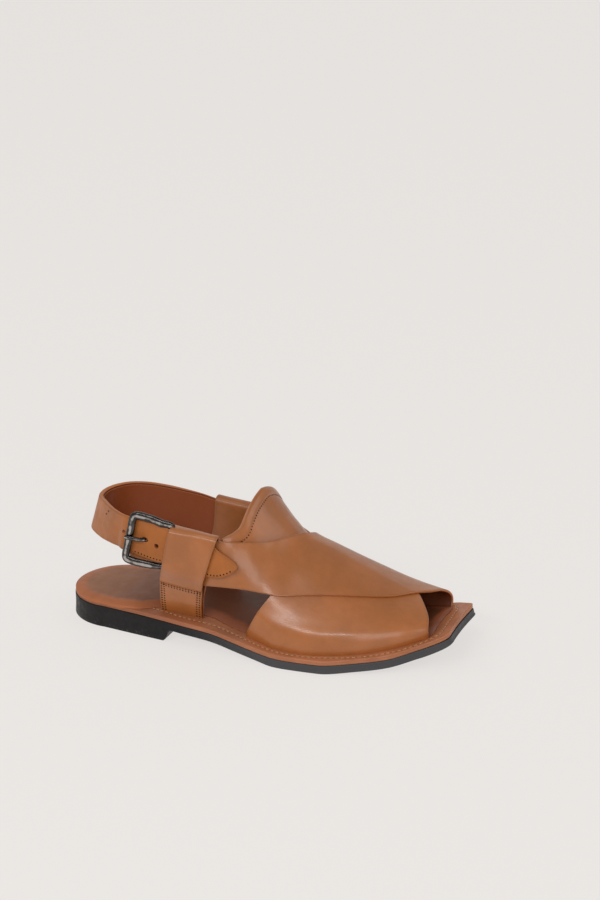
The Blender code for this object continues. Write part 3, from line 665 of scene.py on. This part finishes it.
def leather(name, colour, back, rim, rough=(0.34, 0.46), coat=0.0, specular=0.4):
    """Smooth full-grain leather: colour on its grain side, back on its flesh side, rim at cuts."""
    g = Graph(name, rough[0], coat, specular)
    cloud = g.remap(g.noise(28, 4.0, 0.4), first=0.9, last=1.08)
    pore = g.noise(1300, 2.0)
    shade = g.maths('MULTIPLY', cloud, g.spots(210, 0.975, 1.025))
    shade = g.maths('MULTIPLY', shade, g.remap(pore, 0.25, 0.45, 0.95, 1.0))
    shades = g.add('CombineColor', {0: shade, 1: shade, 2: shade}).outputs[0]
    warm = g.mix(g.remap(g.noise(55), 0.35, 0.7, 0.0, 0.3), colour, rim)
    tone = g.mix(1.0, warm, shades, 'MULTIPLY')
    edge = g.mark("edge")
    burnish = g.remap(edge, 0.4, 2.6, 0.16, 0.0)
    tone = g.mix(burnish, tone, (0.03, 0.012, 0.006, 1))
    tone = g.mix(g.remap(g.mark("face"), first=1.0, last=0.0), tone, back)
    tone = g.mix(g.remap(edge, 0.12, 0.45, 1.0, 0.0), tone, rim)
    surface = g.bumps((g.noise(95, 5.0, 1.6), 0.00045, 0.35), (g.cells(820), 0.00005, 0.55),
                      (pore, 0.00004, 0.6))
    return g.finish(tone, g.remap(g.noise(160, 4.0), 0.3, 0.72, *rough), surface)


def thread(name, colour, dark):
    """Twisted thread, dark between its strands."""
    g = Graph(name, 0.6, specular=0.15)
    twist = g.noise(2600, 2.0)
    tone = g.mix(g.remap(twist, 0.35, 0.65), dark, colour)
    return g.finish(tone, None, g.bumps((twist, 0.0001, 0.8)))


def rubber(name):
    """Black rubber, lighter in patches near the floor. From the waist to the toe it is painted
    greyer, a painted reflection of the bright floor in its side.
    """
    g = Graph(name, 0.5, specular=0.3)
    tone = g.mix(g.spots(40, 0.0, 1.0), srgb(10, 9, 10), srgb(16, 14, 15))
    # Painted reflection: the rubber painted greyer from the waist to the toe, for the bright floor
    # its side reflects.
    tone = g.mix(g.remap(g.along(), -0.06, 0.03), tone, srgb(66, 65, 67))
    # Lighter in patches low on the rubber, near the floor.
    low_down = g.remap(g.mark("rise"), 0.0, 0.55, 0.35, 0.0)
    pale_patches = g.maths('MULTIPLY', g.remap(g.noise(420, 5.0), 0.55, 0.75), low_down)
    tone = g.mix(pale_patches, tone, srgb(104, 99, 98))
    surface = g.bumps((g.noise(75, 4.0), 0.0004, 0.3), (g.noise(1500), 0.00009, 0.7))
    return g.finish(tone, g.spots(300, 0.42, 0.6), surface)


def gunmetal(name):
    """Dark scratched metal, with a painted highlight: a bright streak along the outer ridge of
    each bar.
    """
    g = Graph(name, 0.16)
    g.shader.inputs["Metallic"].default_value = 1.0
    scratch = g.noise(700, stretch=(0.25, 1.0, 2.5))
    tone = g.mix(g.spots(180, 0.0, 1.0), srgb(60, 57, 56), srgb(84, 81, 79))
    # Painted highlight: a bright streak along each bar's outer ridge, broken up by noise.
    painted_streak = g.maths('ADD', g.mark("ridge"), g.spots(260, -0.03, 0.03))
    tone = g.mix(g.remap(painted_streak, 0.95, 0.995), tone, srgb(180, 175, 171))
    surface = g.bumps((g.noise(240), 0.00005, 0.3), (scratch, 0.00002, 0.5))
    return g.finish(tone, g.spots(500, 0.12, 0.2), surface)


TAN = srgb(159, 94, 45)
LINING = srgb(136, 67, 32)
FLESH = srgb(104, 52, 30)
RIM = srgb(172, 104, 58)
tan = leather("tan_leather", TAN, FLESH, RIM, coat=0.45)
strap_leather = leather("strap_leather", srgb(160, 95, 46), FLESH, RIM, specular=0.2)
lining = leather("strap_lining", LINING, LINING, srgb(150, 82, 44), (0.42, 0.55), specular=0.25)
# Painted shade: a darker copy of the tan leather for the medial stay, whose inside lies in shade.
shaded_stay_leather = leather("shaded_stay_leather", srgb(150, 87, 41), FLESH, RIM, coat=0.2)
# Dark stitches: their colour is partly the dark thread's and partly painted shade in the stitch
# holes the thread sinks into.
dark_thread_and_hole_shade = thread("dark_thread_and_hole_shade", srgb(40, 16, 8), srgb(22, 9, 5))
light_thread = thread("light_thread", srgb(214, 168, 126), srgb(160, 110, 72))


def footbed():
    """The insole's leather. Its sloping rim is more orange and its flat top greyer, partly the
    leather's own tone and partly painted light on the rim and painted sheen on the top. From the
    heel forwards both are darkened with painted shade, where the straps shade the inside."""
    g = Graph("insole_leather", 0.45, specular=0.28)
    cloud = g.remap(g.noise(34, 5.0, 0.5))
    along = g.along()
    # The rim's orange and the top's greyer brown are partly painted light on the rim and painted
    # sheen on the top.
    top = g.mix(cloud, srgb(140, 92, 63), srgb(154, 104, 73))
    # Painted shade: the top darkened from the heel forwards, where the straps and stays shade the
    # inside.
    top = g.mix(g.remap(along, -0.135, -0.055), top, srgb(100, 56, 34))
    rim = g.mix(cloud, srgb(158, 93, 56), srgb(172, 103, 64))
    # Painted shade: the rim darkened likewise from the waist forwards.
    rim = g.mix(g.remap(along, -0.09, -0.06), rim, srgb(128, 70, 42))
    wander = g.maths('ADD', g.mark("edge"), g.remap(g.noise(60), 0.2, 0.8, -1.5, 1.5))
    tone = g.mix(g.remap(wander, 5.5, 10.5), rim, top)
    surface = g.bumps((g.noise(80, 5.0, 1.2), 0.0005, 0.3), (g.cells(700), 0.00006, 0.5))
    return g.finish(tone, g.spots(140, 0.38, 0.5), surface)


def welt():
    """The midsole's leather: darker towards the heel and in the stitched groove, its cut side in
    layers."""
    g = Graph("welt_leather", 0.45, specular=0.4)
    tone = g.mix(g.spots(45, 0.0, 1.0), srgb(160, 98, 64), srgb(178, 112, 76))
    tone = g.mix(g.remap(g.along(), -0.13, 0.03, 0.6, 0.0), tone, srgb(134, 80, 52))
    fibre = g.noise(900, stretch=(0.12, 0.12, 1.6))
    side = g.remap(g.mark("edge"), 0.05, 0.5, 1.0, 0.0)
    layers = g.maths('MULTIPLY', side, g.remap(fibre, 0.35, 0.7, 0.0, 0.4))
    tone = g.mix(layers, tone, srgb(140, 82, 52))
    groove = g.remap(g.mark("groove"), 0.2, 1.1, 0.5, 0.0)
    tone = g.mix(groove, tone, srgb(112, 64, 40))
    surface = g.bumps((g.noise(90, 4.0), 0.0004, 0.3), (g.cells(900), 0.00005, 0.5),
                      (g.maths('MULTIPLY', fibre, side), 0.00015, 0.7))
    return g.finish(tone, g.spots(200, 0.38, 0.52), surface)


# The sole.
def spread(x):
    """How far the rubber's foot stands out beyond the sole at the heel and the toe."""
    toe = TOE_FLARE * ramp(x, LENGTH - 24, LENGTH)
    return toe - HEEL_FLARE * (1 - ramp(x, HEEL_BACK, HEEL_DEPTH))


def outline(plan, front):
    """Points round a plan: the outer side to the toe, the hollow front edge, the inner side."""
    lateral = column(plan, 1)
    medial = column(plan, 2)
    first = plan[0][0]
    angle = np.radians(np.linspace(0, 90, 25)[:-1])
    x = np.arange(first, front + 0.01, 1.5)
    x[-1] = front
    xs = np.concatenate([first - (first - HEEL_BACK) * np.cos(angle), x])
    left = np.concatenate([lateral(first) * np.sin(angle), lateral(x)])
    right = np.concatenate([medial(first) * np.sin(angle), medial(x)])
    across = np.linspace(0, 1, 32)[1:-1]
    y = left[-1] + (right[-1] - left[-1]) * across
    front_x = front - TOE_HOLLOW * (1 - (2 * across - 1) ** 2)
    points = np.concatenate([
        np.stack([xs, left], 1),
        np.stack([front_x, y], 1),
        np.stack([xs, right], 1)[:0:-1],
    ])
    share = np.clip((points[:, 1] - left[-1]) / (right[-1] - left[-1]), 0, 1)
    points[:, 0] -= TOE_SKEW * ramp(points[:, 0], front - 25, front) * share
    near = points[:, 0] > front - 16
    for _ in range(6):
        mean = (np.roll(points, 1, 0) + 2 * points + np.roll(points, -1, 0)) / 4
        points[near] = mean[near]
    return points


def slab(name, plan, front, low, high, section, node, extra=None, flare=(0.0, 0.0),
         ease=None):
    """Rings round a plan. The section's rows are: distance in from the edge, share of the top's
    height, millimetres added. Rings inside the last distances run to the spine of the plan. The
    flares lengthen the top and the underside at the heel and the toe. ease scales what is added
    by the place along the plan."""
    rim = outline(plan, front)
    middle = (column(plan, 1), column(plan, 2))
    spine_x = np.clip(rim[:, 0], HEEL_DEPTH + 5, front - 24)
    spine = np.stack([spine_x, (middle[0](spine_x) + middle[1](spine_x)) / 2], 1)
    reach = np.linalg.norm(spine - rim, axis=1)
    top_in = section[0][0]
    low_in = section[-1][0]
    rows = [(None, share, 1, 0.0) for share in np.linspace(1, 0, 12)[:-1]]
    rows += [(e, None, share, add) for e, share, add in section]
    rows += [(None, share, 0, 0.0) for share in np.linspace(0, 1, 8)[1:]]
    points, edges, rises = [], [], []
    for e, inner, share, add in rows:
        if e is None:
            start = top_in if share else low_in
            e = start + (reach - start) * inner
        flat = rim + (spine - rim) * (e / reach)[:, None]
        bottom = low(flat[:, 0], flat[:, 1])
        top = high(flat[:, 0], flat[:, 1])
        z = bottom + (top - bottom) * share + add * (ease(flat[:, 0]) if ease else 1)
        stretch = spread(flat[:, 0]) * (flare[0] * share + flare[1] * (1 - share))
        points.append(np.column_stack([flat[:, 0] + stretch, flat[:, 1], z]))
        edges.append(np.broadcast_to(e, z.shape))
        rises.append((z - bottom) / np.maximum(top - bottom, 0.01))
    points = np.array(points)
    marks = {"edge": np.array(edges), "rise": np.array(rises)}
    if extra:
        marks.update(extra(points))
    faces = tube_faces(len(points), points.shape[1], False)
    return new_mesh(name, points.reshape(-1, 3), faces, marks, node)


def rounded(radius, side=0.0, depth=0.0, step=0.6, steps=5):
    """A section with both edges rounded, rings in to depth on top and a wall cut in by side."""
    turns = np.radians(np.linspace(0, 90, steps + 1))
    arc = [(radius * (1 - math.sin(t)), radius * (1 - math.cos(t))) for t in turns]
    inner = [(e, 1, 0.0) for e in np.arange(depth, radius + 0.2, -step)]
    wall = [(side * math.sin(math.pi * share), share, 0.0) for share in (0.7, 0.5, 0.3)]
    top = [(e, 1, -fall) for e, fall in arc]
    foot = [(e, 0, fall) for e, fall in arc[::-1]]
    return inner + top + wall + foot


def near_line(points, line):
    """Distance in plan of each point from a line of points."""
    flat = points[..., :2].reshape(-1, 1, 2)
    near = np.full(len(flat), 1e9)
    for k in range(0, len(line), 64):
        part = line[None, k:k + 64, :2]
        near = np.minimum(near, np.linalg.norm(flat - part, axis=2).min(1))
    return near.reshape(points.shape[:-1])


def build_sole():
    bottom = slab("outsole_rubber", SOLE_PLAN, LENGTH, lambda x, y: UNDERSIDE(x),
                  lambda x, y: RUBBER_TOP(x), rounded(0.7, 0.25, 2.5), "outsole",
                  flare=(0.3, 1.0))
    paint(bottom, rubber("outsole_rubber"))
    line = smooth_rows(WELT_STITCHES, 16)
    seam = np.column_stack([line, MIDSOLE_TOP(line[:, 0])])

    def top(x, y):
        away = near_line(np.stack([x, y], -1), line)
        return MIDSOLE_TOP(x) - GROOVE_DEPTH * np.exp(-(away / GROOVE_WIDTH) ** 2)

    welted = slab("midsole_welt", SOLE_PLAN, LENGTH, lambda x, y: RUBBER_TOP(x) + WELT_GAP, top,
                  rounded(0.85, 0.15, 10.0), "midsole",
                  lambda points: {"groove": near_line(points, line)})
    paint(welted, welt())
    up = np.tile((0.0, 0.0, 1.0), (len(seam), 1))
    sunk = seam - (0, 0, 0.32)
    stitches("welt_stitches", [(sunk, up, WELT_PITCH)], WELT_STITCH, light_thread)


def build_insole():
    front = INSOLE_PLAN[-1][0]
    section = []
    for share in np.linspace(1, 0, 16):
        fall = INSOLE_THICK * 0.62 * (1 - share) ** 2.4
        section.append((INSOLE_ROLL * share, 1, -fall))
    section += [(0.0, 0.08, 0.0), (0.05, 0, 0.0), (0.3, 0, 0.0)]

    def low(x, y):
        return MIDSOLE_TOP(x) - 0.05 - 0.95 * (1 - ramp(x, 56, 66))

    made = slab("insole_leather", INSOLE_PLAN, front, low,
                lambda x, y: MIDSOLE_TOP(x) + GAP + INSOLE_THICK, section, "insole",
                ease=lambda x: 1 + 0.5 * ramp(x, 54, 68))
    paint(made, footbed())


# The straps and the tongue.
def strap(table, lift, columns=72, per_row=12):
    """A grid of points and normals for a strap on the last, raised off it by lift."""
    rows = smooth_rows(table, per_row)
    share = np.linspace(0, 1, columns)
    x = rows[:, 0:1] + (rows[:, 2:3] - rows[:, 0:1]) * share
    turn = np.clip(rows[:, 1:2] + (rows[:, 3:4] - rows[:, 1:2]) * share, -1, 1)
    return off_last(x, turn, lift(x, turn)), last_normal(x, turn)


def no_lift(x, turn):
    return 0.0 * x


def over_lift(x, turn):
    """The strap on top lies on the one below where they cross, and on the last elsewhere."""
    lifted = UNDER_THICK * ramp(1 - turn, 0.0, 0.3) * ramp(x, 120, 168)
    return np.maximum(lifted, 0.2 * ramp(-turn, -0.9, 0.0)) + 0.05


def build_straps():
    under = strap(UNDER_STRAP, no_lift)
    under = Strip(*under, 0.0, UNDER_THICK, (0.55, 0.55), 90, (0,), UNDER_CREASES)
    paint(under.mesh("under_strap", "upper", "upper"), tan)
    over = strap(OVER_STRAP, over_lift)
    over = Strip(*over, 0.0, OVER_VISIBLE, (0.7, 0.7), 80, (0,), OVER_CREASES)
    paint(over.mesh("over_strap", "upper", "upper"), tan)


def build_tongue():
    def width(q):
        return TONGUE_BAND[0] + (TONGUE_BAND[1] - TONGUE_BAND[0]) * ramp(q, 4, 45)

    def band(q, a):
        return ramp(width(q) - a, -0.9, 0.3)

    def high(q, a, b):
        crown = np.sin(np.pi * np.clip(a / width(q), 0, 1)) ** 0.7
        return -0.45 + band(q, a) * (0.35 + 0.55 * crown) - 0.3 * bell(a, width(q) + 0.75, 0.6)

    def low(q, a, b):
        return -1.9 - 0.9 * band(q, a)

    rows = [(rear, turn, front, turn) for turn, rear, front in TONGUE]
    tongue = Strip(*strap(rows, no_lift, 60), low, high, (1.5, 0.5), 76)
    paint(tongue.mesh("tongue_leather", "tongue", "upper"), tan)
    q = np.linspace(6, tongue.q[-1] - 6, 300)
    line, out = tongue.place(q, width(q) + 0.75)
    runs = [(line - 0.12 * out, out, TONGUE_PITCH)]
    stitches("tongue_stitches", runs, TONGUE_STITCH, dark_thread_and_hole_shade)


# The stays.
def stay_grid(edges, tops, pockets, side, cover, columns=40):
    """A strip from inside the foot, over a fold and down to the foot outside, and where along it
    the seam lies under the tunnel."""
    share = np.linspace(0, 1, columns)
    fold = tops[0] + (tops[1] - tops[0]) * share - FOLD_RISE - STAY_THICK / 2
    pocket = pockets[0] + (pockets[1] - pockets[0]) * share
    seam = pocket - SEAM_DROP
    foot = np.full(columns, float(edges[0][0]))
    # Columns: z, distance from the last, share of the cover's distance added to it.
    path = [(z, INNER_LEAF, 0) for z in (foot, foot + 14, foot + 28, foot + 40, fold - 7)]
    for degrees in (0, 30, 60, 90, 120, 150, 180):
        angle = math.radians(degrees)
        out = (1 - math.cos(angle)) / 2
        path.append((fold + FOLD_RISE * math.sin(angle), INNER_LEAF * (1 - out), out))
    path += [((fold + pocket) / 2, 0, 1), (pocket, 0, 0.96), (pocket - 5, 0.1, 0.8)]
    path += [(pocket - 10, 0.4, 0.55), (seam, 0.8, 0.28)]
    at_seam = len(path) - 1
    path += [(seam - 6, 1.0, 0.1), ((seam + foot) / 2 - 3, OUTER_FOOT, 0.02),
             (foot, OUTER_FOOT, 0)]
    z = np.array([row[0] for row in path])
    distance = np.array([row[1] for row in path])[:, None]
    out = np.array([row[2] for row in path])[:, None]
    rear = column(edges, 1)
    front = column(edges, 2)
    x = rear(z) + (front(z) - rear(z)) * share
    turn = np.where(z <= foot, float(side), turn_at(x, z, side))
    points = off_last(x, turn, distance + out * cover(x))
    knots = lengths(points[:, columns // 2])
    return even_rows(points, 1.0), knots[at_seam]


def lateral_cover(x):
    side = np.array(sorted((row[0], row[4]) for row in BUCKLED_SIDE))
    return through(side[:, 0], side[:, 1], x) + LINED_THICK + STAY_THICK / 2 + COVER_EASE


def medial_cover(x):
    return SEWN_SIDE[-1][4] + LINED_THICK + STAY_THICK / 2 + COVER_EASE + 0 * x


def stay_runs(strip, seam):
    """The double rows of stitching across a stay at its seam and down both its edges."""
    runs = []
    width = strip.a[len(strip.a) // 2, -1]
    for down in STAY_SEAM_ROWS:
        a = np.linspace(1.8, width - 1.8, 60)
        runs.append(strip.place(seam + down, a))
    q = np.linspace(seam - 1.6, strip.q[-1] - 1.0, 60)
    for last in (False, True):
        for a in STAY_EDGE_ROWS:
            runs.append(strip.place(q, a, last))
    return [(line - PRESSED * out, out, STAY_PITCH) for line, out in runs]


def stay_strip(grid, normals, seam):
    """A stay's leather, pressed in along its seam and its stitched edges."""
    half = STAY_THICK / 2

    def high(q, a, b):
        pressed = 0.35 * bell(q, seam + 1.1, 1.9) - 0.3 * bell(q, seam - 4.0, 2.4)
        sides = 0.22 * (bell(a, 2.5, 1.5) + bell(b, 2.5, 1.5)) * ramp(q, seam - 2, seam + 3)
        return half - pressed - sides

    return Strip(grid, normals, -half, high, (0.6, 0.6), 44, feet=(0, -1))


def build_stays():
    lateral = (LATERAL_STAY, LATERAL_STAY_TOP, LATERAL_POCKET, OUTER_SIDE, lateral_cover)
    medial = (MEDIAL_STAY, MEDIAL_STAY_TOP, MEDIAL_POCKET, INNER_SIDE, medial_cover)
    # The medial stay gets the darker leather, painted shade for its shaded inside.
    for name, shape, material in (("lateral_stay", lateral, tan),
                                  ("medial_stay", medial, shaded_stay_leather)):
        grid, seam = stay_grid(*shape)
        strip = stay_strip(grid, grid_normals(grid, shape is medial), seam)
        paint(strip.mesh(f"{name}_leather", name, "upper"), material)
        stitches(f"{name}_stitches", stay_runs(strip, seam), STAY_STITCH, dark_thread_and_hole_shade)


# The heel strap.
def side_grid(table, side, columns):
    rows = np.array(table, float)
    share = np.linspace(-1, 1, columns)
    x = rows[:, 0:1] + share * rows[:, 3:4] / 2
    z = rows[:, 1:2] + share * rows[:, 2:3]
    return beside_last(x, z, rows[:, 4:5], side)


def bored(item, holes):
    """Cuts the strap's holes through a piece. The holes' rows are: x, z, radii along and up, and
    distance from the last."""
    sides = 28
    for x, z, wide, tall, distance in holes:
        centre = beside_last(x, z, distance)
        along = unit(beside_last(x + 2, z - 0.25, 3) - beside_last(x - 2, z + 0.25, 3))
        out = last_normal(x, turn_at(x, z, OUTER_SIDE))
        up = unit(np.cross(out, along))
        angle = np.linspace(0, 2 * math.pi, sides + 1)[:-1]
        ring = np.cos(angle)[:, None] * wide * along + np.sin(angle)[:, None] * tall * up
        points = np.concatenate([centre + ring - 5 * out, centre + ring + 5 * out])
        mesh = bpy.data.meshes.new("hole")
        faces = [list(range(sides)), list(range(2 * sides - 1, sides - 1, -1))]
        for i in range(sides):
            after = (i + 1) % sides
            faces.append([i, i + sides, after + sides, after])
        mesh.from_pydata(world(points).tolist(), [], faces)
        turn_faces_out(mesh)
        cutter = link(bpy.data.objects.new("hole", mesh))
        step = item.modifiers.new("hole", 'BOOLEAN')
        step.operation = 'DIFFERENCE'
        step.solver = 'EXACT'
        step.object = cutter
        bpy.context.view_layer.update()
        shaped = item.evaluated_get(bpy.context.evaluated_depsgraph_get())
        cut = bpy.data.meshes.new_from_object(shaped)
        item.modifiers.clear()
        item.data = cut
        bpy.data.objects.remove(cutter)
    return item


def build_heel_strap():
    columns = 25
    rows = list(side_grid(BUCKLED_SIDE, OUTER_SIDE, columns))
    for row in HEEL_LOOP:
        low = np.array(row[:3])
        high = np.array(row[3:6])
        rows.append(low + (high - low) * np.linspace(0, 1, columns)[:, None])
    rows += list(side_grid(SEWN_SIDE, INNER_SIDE, columns))
    sizes = [LINED_THICK] * len(BUCKLED_SIDE) + [row[6] for row in HEEL_LOOP]
    sizes += [LINED_THICK] * len(SEWN_SIDE)
    rows = smooth_rows(rows, 6)
    grid = even_rows(rows, 1.2)
    normals = grid_normals(grid, True)
    knots = np.linspace(0, 1, len(rows))
    ways = lengths(rows[:, columns // 2])
    ways = np.interp(np.linspace(0, ways[-1], len(grid)), ways, knots)
    thick = np.interp(ways * (len(sizes) - 1), np.arange(len(sizes)), sizes)[:, None]

    def high(q, a, b):
        return thick + 0 * a

    outer = Strip(grid, normals, LEATHER_FACE, high, (0.55, 0.9), 44, creases=HEEL_CREASES)
    made = outer.mesh("heel_strap_leather", "heel_strap", "upper")
    paint(bored(made, STRAP_HOLES), strap_leather)
    lined = (slice(12, -2), slice(1, -1))
    inner = Strip(grid[lined], normals[lined], 0.0, LINING_THICK, (0.3, 0.3), 30)
    made = inner.mesh("heel_strap_lining", "heel_strap", "upper")
    paint(bored(made, STRAP_HOLES), lining)
    x = outer.outer[:, 0, 0]
    side = outer.outer[:, 0, 1] < -20
    near = [q for q, at, ok in zip(outer.q, x, side) if ok and 66 < at < 139.5]
    q = np.linspace(min(near), max(near), 300)
    line, out = outer.place(q, 2.0)
    runs = [(line - PRESSED * out, out, TIP_PITCH)]
    ends = np.array([(0.0, 0.0, -AWL_DOT_LENGTH / 2), (0.0, 0.0, AWL_DOT_LENGTH / 2)])
    # The awl marks are short dark stitches, their dark partly painted shade of the holes.
    for spot, out in AWL_DOTS:
        runs.append((np.array(spot) + ends, np.array([out, out]), 2.0))
    stitches("heel_strap_stitches", runs, TIP_STITCH, dark_thread_and_hole_shade)


# The buckle.
def bar(name, path, outs, wide, deep, closed, node):
    """A bar along a path: wide across it beside the last, deep away from the last."""
    if closed:
        along = unit(np.roll(path, -1, 0) - np.roll(path, 1, 0))
    else:
        along = unit(np.gradient(path, axis=0))
    outs = unit(outs - along * (outs * along).sum(1, keepdims=True))
    across = np.cross(along, outs)
    turns = np.linspace(0, 2 * math.pi, 25)[:-1]
    blunt = 0.82
    c = np.sign(np.cos(turns)) * np.abs(np.cos(turns)) ** blunt
    s = np.sign(np.sin(turns)) * np.abs(np.sin(turns)) ** blunt
    ring = path[:, None] + (c * wide[:, None])[..., None] * across[:, None]
    ring = ring + (s * deep[:, None])[..., None] * outs[:, None]
    rows = np.concatenate([ring, ring[:1]]) if closed else ring
    faces = tube_faces(len(rows), len(turns), False)
    if not closed:
        faces += [list(range(len(turns))),
                  list(range((len(rows) - 1) * len(turns), len(rows) * len(turns)))]
    # ridge is 1 along each bar's outermost side, where the gunmetal paints its highlight streak.
    marks = {"ridge": np.broadcast_to(np.sin(turns), rows.shape[:2])}
    return new_mesh(name, rows.reshape(-1, 3), faces, marks, node)


def bar_path(table, per_row, closed=False):
    """The smoothed rows of a bar beside the last, their points and the directions out of it."""
    rows = smooth_rows(table, per_row, closed)
    x, z, distance = rows[:, 0], rows[:, 1], rows[:, 2]
    return rows, beside_last(x, z, distance), last_normal(x, turn_at(x, z, OUTER_SIDE))


def build_buckle():
    metal = gunmetal("gunmetal")
    rows, path, outs = bar_path(BUCKLE_FRAME, 10, closed=True)
    frame_bar = bar("buckle_frame_metal", path, outs, rows[:, 3], rows[:, 4], True, "buckle_frame")
    paint(frame_bar, metal)
    rows, path, outs = bar_path(PRONG_PATH, 12)
    far = lengths(path)
    blunt = np.minimum(far, far[-1] - far)
    tip = np.sqrt(1 - np.clip(1 - blunt / 1.5, 0, 0.98) ** 2)
    wide, deep = (half * tip for half in PRONG_HALF)
    paint(bar("buckle_prong_metal", path, outs, wide, deep, False, "buckle_prong"), metal)


# The scene round the shoe.
def build_camera():
    azimuth, elevation, roll = (math.radians(v) for v in CAMERA_TURN)
    back = np.array((math.sin(azimuth) * math.cos(elevation),
                     -math.cos(azimuth) * math.cos(elevation), math.sin(elevation)))
    right = np.array((math.cos(azimuth), math.sin(azimuth), 0.0))
    up = np.cross(back, right)
    tilted = math.cos(roll) * right + math.sin(roll) * up
    upright = math.cos(roll) * up - math.sin(roll) * right
    data = bpy.data.cameras.new("camera")
    data.sensor_width = SENSOR
    data.lens = LENS
    camera = link(bpy.data.objects.new("camera", data))
    turn = Matrix(np.column_stack([tilted, upright, back]).tolist())
    camera.matrix_world = Matrix.Translation(CAMERA_PLACE) @ turn.to_4x4()
    bpy.context.scene.camera = camera


def build_stage():
    mesh = bpy.data.meshes.new("floor")
    far = FLOOR_REACH
    mesh.from_pydata([(-far, -far, 0), (far, -far, 0), (far, far, 0), (-far, far, 0)], [],
                     [(0, 1, 2, 3)])
    floor = link(bpy.data.objects.new("floor", mesh))
    g = Graph("floor", 0.9, specular=0.1)
    g.shader.inputs["Emission Color"].default_value = srgb(234, 230, 227)
    g.shader.inputs["Emission Strength"].default_value = FLOOR_GLOW
    paint(floor, g.finish(srgb(112, 110, 108)))
    studio = bpy.data.worlds.new("studio")
    studio.use_nodes = True
    background = studio.node_tree.nodes["Background"]
    background.inputs["Color"].default_value = STUDIO_COLOUR
    background.inputs["Strength"].default_value = STUDIO_GLOW
    bpy.context.scene.world = studio
    for k, (place, wide, tall, watts) in enumerate(LAMPS):
        data = bpy.data.lights.new(f"softbox_{k}", 'AREA')
        data.shape = 'RECTANGLE'
        data.size = wide
        data.size_y = tall
        data.energy = watts
        lamp = link(bpy.data.objects.new(f"softbox_{k}", data))
        lamp.location = place
        aimed = Vector(np.subtract(LAMP_AIM, place, dtype=float))
        lamp.rotation_euler = aimed.to_track_quat('-Z', 'Y').to_euler()
    bpy.context.scene.view_settings.view_transform = 'Standard'


build_sole()
build_insole()
build_straps()
build_tongue()
build_stays()
build_heel_strap()
build_buckle()
build_camera()
build_stage()
